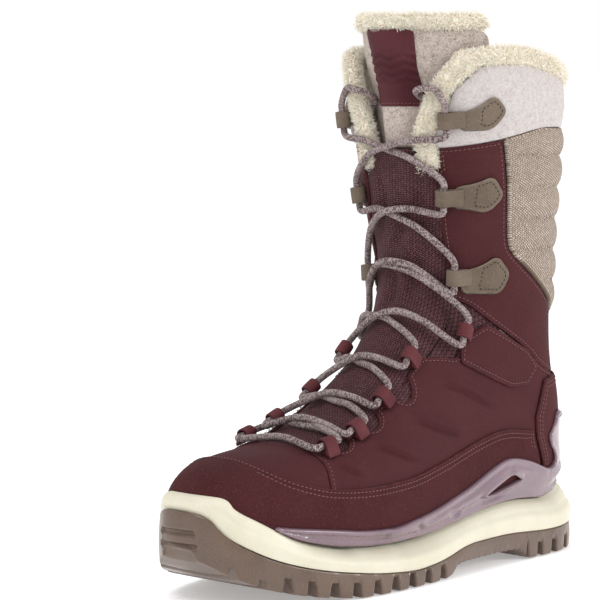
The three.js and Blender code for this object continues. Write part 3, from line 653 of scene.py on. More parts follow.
class Region:
    """A closed outline that gives the distance inside it, on one of three views."""

    axes = {"side": (1, 2), "front": (0, 2), "plan": (0, 1)}

    def __init__(self, points: Sequence[Point], view: str = "side", step: float = 1.0) -> None:
        """Lay the outline's distances out on a fine grid.

        Args:
            points: the closed outline.
            view: side, front or plan.
            step: grid spacing, millimetres.
        """
        self.pick = self.axes[view]
        self.step = step
        line = np.array(points, float)
        self.low = line.min(0) - 12
        size = np.ceil((line.max(0) + 12 - self.low) / step).astype(int) + 1
        a = self.low[0] + np.arange(size[0]) * step
        b = self.low[1] + np.arange(size[1]) * step
        spot = np.stack(np.meshgrid(a, b, indexing="ij"), -1).reshape(-1, 1, 2)
        start, end = line, np.roll(line, -1, 0)
        run = end - start
        best = np.full(len(spot), 1e9)
        inside = np.zeros(len(spot), bool)
        for s, e, r in zip(start, end, run):
            d = spot[:, 0] - s
            f = np.clip(d @ r / max(r @ r, 1e-9), 0, 1)
            best = np.minimum(best, ((d - f[:, None] * r) ** 2).sum(1))
            cross = (s[1] > spot[:, 0, 1]) != (e[1] > spot[:, 0, 1])
            if s[1] != e[1]:
                edge = s[0] + (spot[:, 0, 1] - s[1]) * r[0] / (e[1] - s[1])
                inside ^= cross & (spot[:, 0, 0] < edge)
        self.grid = (np.sqrt(best) * np.where(inside, 1, -1)).reshape(size)

    def __call__(self, p: Array) -> Array:
        """Return how far inside the outline each point lies.

        Args:
            p: points, millimetres.

        Returns:
            Distances, positive inside.
        """
        uv = (p[..., list(self.pick)] - self.low) / self.step
        top = np.array(self.grid.shape) - 1.001
        uv = np.clip(uv, 0, top)
        i = uv.astype(int)
        f = uv - i
        g = self.grid
        low = g[i[..., 0], i[..., 1]] * (1 - f[..., 0]) + g[i[..., 0] + 1, i[..., 1]] * f[..., 0]
        high = (g[i[..., 0], i[..., 1] + 1] * (1 - f[..., 0])
                + g[i[..., 0] + 1, i[..., 1] + 1] * f[..., 0])
        return low * (1 - f[..., 1]) + high * f[..., 1]


Field = Callable[[Array], Array]


def curve_at(line: Sequence[Point], value: Array) -> Array:
    """Return the line's second number at the first, between its points."""
    return np.interp(value, [p[0] for p in line], [p[1] for p in line])


def throat(p: Array, grow: float = 0.0) -> Array:
    """Return how far inside the lacing gap each point lies.

    Args:
        p: points, millimetres.
        grow: how far the gap is widened.

    Returns:
        Distances, positive inside.
    """
    w = THROAT + grow
    x, y = np.abs(p[..., 0]), p[..., 1]
    dy = np.maximum(0, -166 - y)
    round_end = (1 - np.sqrt((x / w) ** 2 + (dy / (18 + grow)) ** 2)) * w
    flat = np.where(dy > 0, round_end, w - x)
    return np.minimum(np.minimum(flat, p[..., 2] - 55), -30 - y)


def slit(p: Array) -> Array:
    """Return how far outside the collar's front opening each point lies."""
    half = np.interp(p[..., 2], [z for _, z in SLIT], [x for x, _ in SLIT])
    return np.where(p[..., 1] < -45, np.abs(p[..., 0]) - half, 60.0)


def collar_top(p: Array) -> Array:
    """Return how far below the collar's top edge each point lies."""
    return curve_at(COLLAR_LINE, p[..., 1]) - p[..., 2]


def fur_zone(p: Array) -> Array:
    """Return how far inside the fur edging each point lies.

    Args:
        p: points, millimetres.

    Returns:
        Distances, positive inside.
    """
    below = collar_top(p)
    edge = slit(p)
    strip = np.minimum(FUR_EDGE - edge, p[..., 2] - FUR_LOW)
    strip = np.where(p[..., 1] < -45, strip, -60.0)
    return np.minimum(np.minimum(np.maximum(FUR_BAND - below, strip), below), edge)


COLLAR_LINE = soften(COLLAR_TOP, 14)


# ------------------------------------------------------------------ meshes
def make_object(name: str, points: Array, faces: Sequence[Sequence[int]], finish: Finish,
                uv: Optional[Array] = None, edge: Optional[Array] = None) -> bpy.types.Object:
    """Make an object from points in millimetres.

    Args:
        name: the object's name.
        points: positions, millimetres.
        faces: corner numbers.
        finish: the material.
        uv: lengths along the surface per point, metres.
        edge: distance to the piece's edge per point, millimetres.

    Returns:
        The object, linked to the scene.
    """
    name += "_finished"
    mesh = bpy.data.meshes.new(name)
    mesh.from_pydata((np.asarray(points) * MM).tolist(), [], [list(map(int, f)) for f in faces])
    if uv is not None:
        corner = np.empty(len(mesh.loops), np.int64)
        mesh.loops.foreach_get("vertex_index", corner)
        layer = mesh.uv_layers.new(name="UVMap")
        layer.data.foreach_set("uv", np.asarray(uv, np.float32)[corner].ravel())
    if edge is not None:
        layer = mesh.attributes.new("edge", "FLOAT", "POINT")
        layer.data.foreach_set("value", np.asarray(edge, np.float32))
    mesh.polygons.foreach_set("use_smooth", [True] * len(mesh.polygons))
    mesh.materials.append(finish.material())
    mesh.validate()
    mesh.update()
    made = bpy.data.objects.new(name, mesh)
    bpy.context.scene.collection.objects.link(made)
    return made


def settle(piece: bpy.types.Object, nodes: Sequence[str], body: str = "boot"
           ) -> bpy.types.Object:
    """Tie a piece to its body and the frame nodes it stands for.

    Args:
        piece: the finished object.
        nodes: frame nodes it stands for.
        body: body it rides on.

    Returns:
        The same object.
    """
    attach(piece, body)
    if nodes:
        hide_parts(*nodes)
    LOG.info("%s: %d faces on %s", piece.name, len(piece.data.polygons), body)
    return piece


@dataclass
class Cut:
    """A grid cut along one level of its distance: points, faces and edge loops."""

    t: Array
    u: Array
    d: Array
    g: Array
    n: Array
    cut: Array
    faces: List[List[int]]
    loops: List[List[int]] = field(default_factory=list)


class Sheet:
    """A fine grid on the form inside a field, from which a piece is cut."""

    def __init__(self, inside: Field, t: Tuple[float, float], theta: Tuple[float, float],
                 step: float = 1.3, face: float = 0.0,
                 move: Callable[[Array], Array] = lambda p: p) -> None:
        """Lay the grid out.

        Args:
            inside: distance inside the piece's outline, before slope correction.
            t: first and last section.
            theta: first and last angle.
            step: grid spacing, millimetres.
            face: inset of the face that the outline is measured on.
            move: moves the finished points.
        """
        self.move = move
        self.face = face
        self.around = abs(theta[1] - theta[0] - 2 * PI) < 1e-6
        self.t_axis = self.spread(t, step)
        count = max(8, int(math.ceil((theta[1] - theta[0]) * 50 / step)))
        self.u_axis = np.linspace(theta[0], theta[1], count + 1)
        grid_t, grid_u = np.meshgrid(self.t_axis, self.u_axis, indexing="ij")
        p = FORM.polar(grid_t, grid_u, face)
        f = inside(p)
        pt, pu = np.gradient(p, axis=0), np.gradient(p, axis=1)
        ft, fu = np.gradient(f, axis=0), np.gradient(f, axis=1)
        a, b, c = (pt * pt).sum(-1), (pt * pu).sum(-1), (pu * pu).sum(-1)
        det = np.maximum(a * c - b * b, 1e-8)
        slope = (pt * ((c * ft - b * fu) / det)[..., None]
                 + pu * ((a * fu - b * ft) / det)[..., None])
        steep = np.linalg.norm(slope, axis=-1)
        self.g = slope / np.maximum(steep, 1e-6)[..., None]
        self.d = f / np.clip(steep, .35, 1.6)
        normal = np.cross(pt, pu)
        self.n = normal / np.maximum(np.linalg.norm(normal, axis=-1), 1e-9)[..., None]
        self.grid = (grid_t, grid_u)

    @staticmethod
    def spread(t: Tuple[float, float], step: float) -> Array:
        """Return section positions spaced about step millimetres apart.

        Args:
            t: first and last section position.
            step: spacing, millimetres.

        Returns:
            The positions.
        """
        marks = [t[0]]
        turns = np.linspace(-PI, PI, 24)
        for i in range(math.floor(t[0]), math.ceil(t[1])):
            low, high = max(i, t[0]), min(i + 1, t[1])
            if i < 0:
                marks.extend(np.linspace(low, high, 5)[1:])
                continue
            a = FORM.polar(np.full(24, low), turns)
            b = FORM.polar(np.full(24, high), turns)
            count = max(2, int(math.ceil(np.linalg.norm(a - b, axis=1).max() / step)))
            marks.extend(np.linspace(low, high, count + 1)[1:])
        return np.array(marks)

    def cut(self, level: float) -> Cut:
        """Cut the grid where the distance reaches a level.

        Args:
            level: distance inside the outline, millimetres.

        Returns:
            What lies further inside than the level.
        """
        nt, nu = self.d.shape
        columns = nu - 1 if self.around else nu
        ids = np.arange(nt)[:, None] * columns + (np.arange(nu) % columns)[None, :]
        if self.t_axis[0] <= -1:
            ids[0, :] = ids[0, 0]
        value = self.d - level
        solid = value > 0
        corner = np.stack([ids[:-1, :-1], ids[1:, :-1], ids[1:, 1:], ids[:-1, 1:]], -1)
        state = np.stack([solid[:-1, :-1], solid[1:, :-1], solid[1:, 1:], solid[:-1, 1:]], -1)
        full = state.all(-1)
        faces = corner[full].tolist()
        extra: Dict[Tuple[int, int], int] = {}
        made: List[Tuple[float, ...]] = []
        offset = nt * columns
        places = ((0, 0), (1, 0), (1, 1), (0, 1))
        for i, j in zip(*np.nonzero(state.any(-1) & ~full)):
            polygon = []
            for k in range(4):
                a = (i + places[k][0], j + places[k][1])
                b = (i + places[(k + 1) % 4][0], j + places[(k + 1) % 4][1])
                va, vb = value[a], value[b]
                if va > 0:
                    polygon.append(int(ids[a]))
                if (va > 0) != (vb > 0):
                    key = (min(int(ids[a]), int(ids[b])), max(int(ids[a]), int(ids[b])))
                    if key not in extra:
                        f = min(max(va / (va - vb), .02), .98)
                        extra[key] = offset + len(made)
                        made.append((self.grid[0][a] * (1 - f) + self.grid[0][b] * f,
                                     self.grid[1][a] * (1 - f) + self.grid[1][b] * f, level,
                                     *(self.g[a] * (1 - f) + self.g[b] * f),
                                     *(self.n[a] * (1 - f) + self.n[b] * f)))
                    polygon.append(extra[key])
            if len(polygon) > 2:
                faces.append(polygon)
        clean = []
        for face in faces:
            face = [v for k, v in enumerate(face) if v != face[k - 1]]
            if len(set(face)) > 2:
                clean.append(face)
        more = np.array(made, float).reshape(-1, 9)
        take = (slice(None), slice(0, columns))
        join = lambda grid, col: np.concatenate([grid[take].reshape(-1), more[:, col]])
        g = np.concatenate([self.g[take].reshape(-1, 3), more[:, 3:6]])
        n = np.concatenate([self.n[take].reshape(-1, 3), more[:, 6:9]])
        t, u, d = join(self.grid[0], 0), join(self.grid[1], 1), join(self.d, 2)
        used = np.unique([v for face in clean for v in face]).astype(int)
        back = np.full(len(t), -1)
        back[used] = np.arange(len(used))
        clean = [[int(back[v]) for v in face] for face in clean]
        g, n = g[used], n[used]
        g /= np.maximum(np.linalg.norm(g, axis=1), 1e-9)[:, None]
        n /= np.maximum(np.linalg.norm(n, axis=1), 1e-9)[:, None]
        result = Cut(t[used], u[used], d[used], g, n, used >= offset, clean)
        result.loops = edge_loops(clean)
        return result

    def row(self, level: float, raised: float, keep: Field) -> List[Array]:
        """Return lines at one distance inside the outline, on the face.

        Args:
            level: distance inside the outline.
            raised: how far the line stands above the face.
            keep: positive where the line is wanted.

        Returns:
            Lines of points in millimetres.
        """
        part = self.cut(level)
        lines: List[Array] = []
        for loop in part.loops:
            index = np.array(loop)
            p = self.move(FORM.polar(part.t[index], part.u[index], self.face - raised))
            good = part.cut[index] & (keep(p) > 0)
            if good.all():
                lines.append(np.vstack([p, p[:1]]))
                continue
            first = int(np.nonzero(~good)[0][0])
            p, good = np.roll(p, -first, 0), np.roll(good, -first)
            run: List[Array] = []
            for spot, ok in zip(p, good):
                if ok:
                    run.append(spot)
                elif run:
                    lines.append(np.array(run))
                    run = []
            if run:
                lines.append(np.array(run))
        return [line for line in lines if len(line) > 3]


def edge_loops(faces: Sequence[Sequence[int]]) -> List[List[int]]:
    """Return the open edges of a set of faces, chained into loops.

    Args:
        faces: corner numbers.

    Returns:
        The loops, as corner numbers in order.
    """
    count: Dict[Tuple[int, int], int] = {}
    for face in faces:
        for k, a in enumerate(face):
            b = face[(k + 1) % len(face)]
            count[(a, b)] = 1
    follow: Dict[int, List[int]] = {}
    for a, b in count:
        if (b, a) not in count:
            follow.setdefault(a, []).append(b)
    loops = []
    while follow:
        start = next(iter(follow))
        loop = [start]
        while True:
            options = follow.get(loop[-1])
            if not options:
                break
            step = options.pop()
            if not options:
                del follow[loop[-1]]
            if step == start:
                break
            loop.append(step)
        if len(loop) > 5:
            loops.append(loop)
    return loops


@dataclass
class Panel:
    """A closed piece of sheet material that follows the form."""

    name: str
    inside: Field
    t: Tuple[float, float]
    theta: Tuple[float, float]
    outer: float
    inner: float
    finish: Finish
    rim: float = 0.6
    step: float = 1.3
    relief: Optional[Callable[[Array, Array], Array]] = None
    rounded: bool = False
    move: Callable[[Array], Array] = lambda p: p
    slot: str = ""
    body: str = "boot"

    def build(self) -> bpy.types.Object:
        """Build the piece and tie it to the frame.

        Returns:
            The piece.
        """
        self.sheet = Sheet(self.inside, self.t, self.theta, self.step, self.outer, self.move)
        part = self.sheet.cut(self.rim)
        rest = FORM.polar(part.t, part.u, self.outer)
        rise = self.relief(rest, part.d) if self.relief else np.zeros(len(part.t))
        top = FORM.polar(part.t, part.u, self.outer - rise)
        low = FORM.polar(part.t, part.u, self.inner)
        count = len(top)
        points = [top, low]
        faces = [list(f) for f in part.faces]
        faces += [[v + count for v in reversed(f)] for f in part.faces]
        edges = [part.d, part.d]
        uv0 = np.stack([self.arc(part.u), self.length(part.t)], -1)
        uvs = [uv0, uv0]
        total = 2 * count
        for loop in part.loops:
            index = np.array(loop)
            out, up = -part.g[index], part.n[index]
            out = np.where(part.cut[index][:, None], out, 0)
            thick = np.linalg.norm(top[index] - low[index], axis=1)[:, None]
            high = thick / 2 if self.rounded else np.minimum(self.rim, thick * .6)
            rings = [index]
            shape = [(math.sin(a), 1 - math.cos(a)) for a in (PI / 6, PI / 3, PI / 2)]
            steps = [top[index] + out * self.rim * s - up * high * h for s, h in shape]
            if self.rounded:
                steps += [low[index] + out * self.rim * s + up * high * h
                          for s, h in reversed(shape[:-1])]
            else:
                steps.append(low[index] + out * self.rim)
            for ring in steps:
                points.append(ring)
                rings.append(np.arange(total, total + len(index)))
                edges.append(np.zeros(len(index)))
                uvs.append(uv0[index])
                total += len(index)
            rings.append(index + count)
            for a, b in zip(rings, rings[1:]):
                for k in range(len(index)):
                    m = (k + 1) % len(index)
                    faces.append([a[m], a[k], b[k], b[m]])
        made = make_object(self.name, self.move(np.vstack(points)), faces, self.finish,
                           np.vstack(uvs), np.concatenate(edges))
        return settle(made, (self.name,), self.body)

    def arc(self, u: Array) -> Array:
        """Return the length round the form for an angle, metres."""
        return (u - PI) * 48 * MM

    def length(self, t: Array) -> Array:
        """Return the length along the form's front line for a section, metres.

        Args:
            t: section positions.

        Returns:
            Lengths, metres.
        """
        marks = np.arange(0, FORM.last + 1, .1)
        line = FORM.polar(marks, np.full(len(marks), PI))
        total = run_along(line)
        return np.interp(t, marks, total) * MM


def run_along(line: Array) -> Array:
    """Return the length from a line's start to each of its points."""
    return np.concatenate([[0], np.cumsum(np.linalg.norm(np.diff(line, axis=0), axis=1))])


def line_distance(line: Sequence[Point], a: Array, b: Array) -> Tuple[Array, Array]:
    """Return the distance to an open line and how far along it the nearest place is.

    Args:
        line: the line's points.
        a: first coordinate of the places.
        b: second coordinate of the places.

    Returns:
        Distances, and shares of the line from 0 to 1.
    """
    spots = np.array(line, float)
    best = np.full(np.shape(a), 1e9)
    share = np.zeros(np.shape(a))
    for k, (s, e) in enumerate(zip(spots, spots[1:])):
        r = e - s
        f = np.clip(((a - s[0]) * r[0] + (b - s[1]) * r[1]) / (r @ r), 0, 1)
        d = np.hypot(a - s[0] - f * r[0], b - s[1] - f * r[1])
        share = np.where(d < best, (k + f) / (len(spots) - 1), share)
        best = np.minimum(best, d)
    return best, share


def groove(lines: Sequence[Sequence[Point]], axes: Tuple[int, int], depth: float,
           width: float) -> Callable[[Array, Array], Array]:
    """Return a relief pressed in along lines that fade out at their ends.

    Args:
        lines: open lines in millimetres.
        axes: the two axes they are drawn in.
        depth: how deep they are pressed.
        width: half width of a line.

    Returns:
        The relief function.
    """
    def relief(p: Array, d: Array) -> Array:
        """Return the height at each point."""
        height = np.zeros(len(p))
        for line in lines:
            away, share = line_distance(soften(line, 20, 3), p[:, axes[0]], p[:, axes[1]])
            fade = np.clip(np.sin(PI * np.clip(share, .02, .98)) * 1.5, 0, 1)
            height -= depth * fade * np.exp(-(away / width) ** 2)
            height += depth * .3 * fade * np.exp(-((away - width * 2.1) / width) ** 2)
        return height
    return relief


def fill_tree(name: str, sizes: Sequence[Tuple[str, float]]) -> Tuple[bpy.types.NodeTree, Wiring,
                                                                       bpy.types.Node]:
    """Start a geometry tree with named sizes.

    Args:
        name: the tree's name.
        sizes: input names and first values.

    Returns:
        The tree, its wiring and its input node.
    """
    tree = bpy.data.node_groups.new(name, "GeometryNodeTree")
    tree.interface.new_socket(name="Geometry", in_out="INPUT", socket_type="NodeSocketGeometry")
    for label, value in sizes:
        socket = tree.interface.new_socket(name=label, in_out="INPUT",
                                           socket_type="NodeSocketFloat")
        socket.default_value = value
    tree.interface.new_socket(name="Finish", in_out="INPUT", socket_type="NodeSocketMaterial")
    tree.interface.new_socket(name="Geometry", in_out="OUTPUT", socket_type="NodeSocketGeometry")
    wiring = Wiring(tree)
    return tree, wiring, wiring.add("NodeGroupInput")


def grow(name: str, base: bpy.types.Object, tree: bpy.types.NodeTree,
         values: Dict[str, float], finish: Finish) -> bpy.types.Object:
    """Run a geometry tree on a base mesh and keep the plain result.

    Args:
        name: name of the result.
        base: the mesh that the tree reads; it is removed.
        tree: the geometry tree.
        values: sizes by input name.
        finish: the material of what grows.

    Returns:
        The new object.
    """
    modifier = base.modifiers.new("grow", "NODES")
    modifier.node_group = tree
    for item in tree.interface.items_tree:
        if item.item_type == "SOCKET" and item.in_out == "INPUT":
            if item.name in values:
                modifier[item.identifier] = float(values[item.name])
            elif item.name == "Finish":
                modifier[item.identifier] = finish.material()
    graph = bpy.context.evaluated_depsgraph_get()
    mesh = bpy.data.meshes.new_from_object(base.evaluated_get(graph), depsgraph=graph)
    mesh.name = name
    mesh.polygons.foreach_set("use_smooth", [True] * len(mesh.polygons))
    made = bpy.data.objects.new(name, mesh)
    bpy.context.scene.collection.objects.link(made)
    bpy.data.objects.remove(base)
    return made


def close_tree(w: Wiring, ins: bpy.types.Node, laid: bpy.types.Node) -> None:
    """Make the laid copies real, give them the finish and end the tree."""
    real = w.add("GeometryNodeRealizeInstances", {0: laid.outputs[0]})
    done = w.add("GeometryNodeSetMaterial", {
        "Geometry": real.outputs[0], "Material": ins.outputs["Finish"]})
    w.add("NodeGroupOutput", {0: done.outputs[0]})


def stitch_tree() -> bpy.types.NodeTree:
    """Return the tree that lays stitches at an even pitch along lines.

    Returns:
        The tree, built once.
    """
    found = bpy.data.node_groups.get("stitch_row")
    if found:
        return found
    tree, w, ins = fill_tree("stitch_row", [("Pitch", .0026), ("Length", .0019),
                                            ("Thickness", .0006)])
    curve = w.add("GeometryNodeMeshToCurve", {0: ins.outputs["Geometry"]})
    even = w.add("GeometryNodeResampleCurve", {"Curve": curve.outputs[0],
                                               "Length": ins.outputs["Pitch"]}, mode="LENGTH")
    spots = w.add("GeometryNodeCurveToPoints", {0: even.outputs[0]}, mode="EVALUATED")
    ball = w.add("GeometryNodeMeshUVSphere", {"Segments": 6, "Rings": 5, "Radius": .5})
    size = w.add("ShaderNodeCombineXYZ", {0: ins.outputs["Thickness"],
                                          1: ins.outputs["Thickness"],
                                          2: ins.outputs["Length"]})
    shape = w.add("GeometryNodeTransform", {"Geometry": ball.outputs[0],
                                            "Scale": size.outputs[0]})
    aim = w.add("FunctionNodeAlignRotationToVector", {"Vector": spots.outputs["Tangent"]},
                axis="Z")
    laid = w.add("GeometryNodeInstanceOnPoints", {"Points": spots.outputs["Points"],
                                                  "Instance": shape.outputs[0],
                                                  "Rotation": aim.outputs[0]})
    close_tree(w, ins, laid)
    return tree


def fur_tree(seed: int) -> bpy.types.NodeTree:
    """Return the tree that covers a surface with short curled locks.

    Args:
        seed: fixed seed of the spread.

    Returns:
        The geometry tree.
    """
    tree, w, ins = fill_tree(f"fur_locks_{seed}", [("Density", 4e5), ("Length", .004),
                                                   ("Thickness", .0005), ("Curl", 60.0),
                                                   ("Tilt", .6)])
    spread = w.add("GeometryNodeDistributePointsOnFaces", {"Mesh": ins.outputs["Geometry"],
                                                           "Density": ins.outputs["Density"],
                                                           "Seed": seed})
    lock = w.add("GeometryNodeMeshCone", {"Vertices": 4, "Side Segments": 3,
                                          "Fill Segments": 1, "Radius Top": .00008,
                                          "Radius Bottom": ins.outputs["Thickness"],
                                          "Depth": ins.outputs["Length"]})
    place = w.add("GeometryNodeInputPosition")
    xyz = w.add("ShaderNodeSeparateXYZ", {0: place.outputs[0]})
    bend = w.math("MULTIPLY", w.math("POWER", xyz.outputs[2], 2.0), ins.outputs["Curl"])
    bent = w.add("GeometryNodeSetPosition", {
        "Geometry": lock.outputs[0],
        "Offset": w.add("ShaderNodeCombineXYZ", {0: bend}).outputs[0]})
    tilt = w.math("MULTIPLY", ins.outputs["Tilt"], -1.0)
    swing = w.add("FunctionNodeRandomValue", {"Seed": seed + 1}, data_type="FLOAT_VECTOR")
    for index, sign in ((0, tilt), (1, ins.outputs["Tilt"])):
        turn = w.add("ShaderNodeCombineXYZ", {0: sign, 1: sign, 2: (-PI, PI)[index]})
        w.tree.links.new(turn.outputs[0], swing.inputs[index])
    aim = w.add("FunctionNodeRotateRotation", {0: spread.outputs["Rotation"],
                                               1: swing.outputs[0]}, rotation_space="LOCAL")
    scale = w.add("FunctionNodeRandomValue", {"Seed": seed + 2}, data_type="FLOAT")
    scale.inputs[2].default_value, scale.inputs[3].default_value = .65, 1.15
    laid = w.add("GeometryNodeInstanceOnPoints", {"Points": spread.outputs["Points"],
                                                  "Instance": bent.outputs[0],
                                                  "Rotation": aim.outputs[0],
                                                  "Scale": scale.outputs[1]})
    close_tree(w, ins, laid)
    return tree


@dataclass
class Stitching:
    """Rows of thread stitches of one colour on one body."""

    name: str
    finish: Finish
    slot: str
    body: str = "boot"
    pitch: float = 2.5
    length: float = 1.75
    thick: float = .62
    lines: List[Array] = field(default_factory=list)

    def add(self, sheet: Sheet, level: float, raised: float, keep: Field) -> None:
        """Add the rows at one distance inside a piece's edge."""
        self.lines.extend(sheet.row(level, raised, keep))

    def build(self) -> bpy.types.Object:
        """Lay the stitches and tie them to the frame.

        Returns:
            The stitches.
        """
        mesh = bpy.data.meshes.new(self.name + "_lines")
        points, edges, total = [], [], 0
        for line in self.lines:
            points.append(line)
            edges += [(total + k, total + k + 1) for k in range(len(line) - 1)]
            total += len(line)
        mesh.from_pydata((np.vstack(points) * MM).tolist(), edges, [])
        base = bpy.data.objects.new(self.name + "_lines", mesh)
        bpy.context.scene.collection.objects.link(base)
        made = grow(self.name, base, stitch_tree(), {
            "Pitch": self.pitch * MM, "Length": self.length * MM,
            "Thickness": self.thick * MM}, self.finish)
        return settle(made, (), self.body)


def cover_with_fur(name: str, base: bpy.types.Object, seed: int, density: float,
                   length: float, body: str) -> bpy.types.Object:
    """Grow locks on a copy of a piece's surface and tie them to the piece's body.

    Args:
        name: the fur object's name.
        base: the piece that carries it.
        seed: seed of the random placing.
        density: locks per square millimetre.
        length: length of a lock, millimetres.
        body: body it rides on.

    Returns:
        The fur.
    """
    copy = bpy.data.objects.new(name + "_base", base.data.copy())
    bpy.context.scene.collection.objects.link(copy)
    made = grow(name, copy, fur_tree(seed), {
        "Density": density * 1e6, "Length": length * MM, "Thickness": .34 * MM,
        "Curl": 90.0, "Tilt": .95}, FUR)
    return settle(made, (), body)


# ------------------------------------------------------------------ the upper
@dataclass
class Upper:
    """Leather, textile and lining pieces of the boot's body."""

    emboss_depth: float = 1.5
    emboss_width: float = 1.1
    ridge_gap: float = 3.4
    ridge_rise: float = 1.5
    ridge_width: float = 2.5
    quilt_pitch: float = 17.5
    quilt_rise: float = 3.2
    fold_depth: float = 3.4
    row_inset: float = 2.0
    row_gap: float = 2.5

    def side(self, sign: int) -> Field:
        """Return the field of one half of the boot."""
        return lambda p: p[..., 0] * sign - GAP / 2

    def leather(self) -> List[Panel]:
        """Return the leather pieces and overlays.

        Returns:
            The panels, not yet built.
        """
        seam = soften(VAMP_SEAM, 6)
        top = soften(QUARTER_TOP, 5)
        rand = Region([(-262, 90)] + soften(RAND_TOP, 6) + [(-13, 67), (-6, 52)] + RAND_LOW)
        vamp = Region([(-262, 5), (-262, 100)] + [(y - GAP / 2, z) for y, z in seam])
        quarter = Region([(y + GAP / 2, z) for y, z in reversed(seam)]
                         + [(y, z + .15) for y, z in top] + [(60, 5)])
        knit_line = [(y - GAP, z - GAP) for y, z in reversed(soften(KNIT_FRONT, 6))]
        shaft = Region([(y, z - .15) for y, z in soften(SHAFT_LOW, 6)] + knit_line
                       + [(y, z - GAP) for y, z in reversed(FELT_LOW[:2])])
        strap = Region(soften(STRAP, 1.5, 2, True))
        counter = Region(COUNTER)
        open_gap = lambda p: -throat(p, GAP)

        def notches(p: Array) -> Array:
            """Return how far outside the notches between the loops each point lies."""
            away = [np.hypot(np.abs(p[..., 0]) - 27, p[..., 1] - y) - 7 for y in (-165, -141, -114)]
            return np.min(away, axis=0)

        pressed = groove(CREASES, (1, 2), self.emboss_depth, self.emboss_width)
        above = [[(y, z + self.ridge_gap) for y, z in line] for line in CREASES]
        raised = groove(above, (1, 2), -self.ridge_rise, self.ridge_width)

        def quarter_relief(p: Array, d: Array) -> Array:
            """Press the creases in and lift the front seam over the vamp."""
            away, _ = line_distance(seam, p[:, 1], p[:, 2])
            return pressed(p, d) + raised(p, d) + .8 * np.exp(-(away / 5) ** 2)

        def soft_swell(p: Array, d: Array) -> Array:
            """Swell a little away from the seams."""
            return .45 * (1 - np.exp(-np.maximum(d, 0) / 7))

        both = (-PI, PI)
        halves = [(1, "lateral", (-.25, PI)), (-1, "medial", (-PI, .25))]
        pieces = [
            Panel("toe_rand", rand, (-1, 12), both, -GAP - OVERLAY, -GAP, SUEDE, .7, 1.5,
                  soft_swell, slot="suede"),
            Panel("heel_counter_panel", counter, (8, 14), (-1.9, 1.9), -GAP - OVERLAY, -GAP,
                  NUBUCK, .7, 1.4, soft_swell, slot="nubuck"),
            Panel("vamp", lambda p: np.minimum(vamp(p), open_gap(p)), (0, 6), both, 0, LEATHER,
                  NUBUCK, .6, 1.3, soft_swell, slot="nubuck")]
        for sign, name, theta in halves:
            half = self.side(sign)
            pieces.append(Panel(
                f"quarter_{name}", lambda p, h=half: np.minimum.reduce(
                    [quarter(p), open_gap(p), notches(p), h(p)]), (3, 15), theta, 0, LEATHER,
                NUBUCK, .6, 1.15, quarter_relief, slot="nubuck"))
            pieces.append(Panel(
                f"shaft_panel_{name}", lambda p, h=half: np.minimum.reduce(
                    [shaft(p), open_gap(p), -fur_zone(p) - GAP, h(p)]), (7, 18), theta, 0,
                LEATHER, NUBUCK, .6, 1.4, soft_swell, slot="nubuck"))
            pieces.append(Panel(
                f"ankle_strap_{name}", lambda p, h=half: np.minimum(strap(p), h(p)), (7, 14),
                theta, -GAP - OVERLAY, -GAP, NUBUCK, .7, 1.3, soft_swell, slot="nubuck"))
        return pieces

    def textile(self) -> List[Panel]:
        """Return the knit, felt, lining, gussets and tongue mesh.

        Returns:
            The panels, not yet built.
        """
        knit = Region(soften(KNIT_FRONT[1:], 6)
                      + [(y, z - GAP) for y, z in reversed(FELT_LOW[2:])])
        felt = Region(soften(FELT_LOW, 8) + [(60, 420), (-110, 420)])
        gusset = Region([(-178, 60), (-178, 90), (-110, 150), (-110, 221), (-40, 221),
                         (-40, 120), (-90, 90), (-140, 60)])
        tongue = Region([(-200, 60), (-200, 232), (-20, 232), (-20, 120), (-90, 90), (-140, 60)])

        def quilt(p: Array, d: Array) -> Array:
            """Puff the knit between its sewn channels."""
            level = p[:, 2] + 4 * np.cos(p[:, 0] / 26)
            wave = np.abs(np.sin(PI * (level - 245) / self.quilt_pitch))
            puff = 1 - np.exp(-np.maximum(d, 0) / 4)
            return self.quilt_rise * (wave ** .5 - .3) * puff + .3

        def felt_swell(p: Array, d: Array) -> Array:
            """Swell the padded felt away from its seams."""
            return 1.5 * (1 - np.exp(-np.maximum(d, 0) / 6))

        folds = groove(TONGUE_FOLDS, (0, 2), self.fold_depth, self.fold_depth)

        def tongue_swell(p: Array, d: Array) -> Array:
            """Crown the tongue and fold it over the instep."""
            crown = 1.0 - 1.6 * (p[:, 0] / 26) ** 2
            ridge = .7 * np.sin(p[:, 2] / 7.5 + np.sin(p[:, 0] / 9))
            return crown + folds(p, d) - np.abs(ridge) * .8

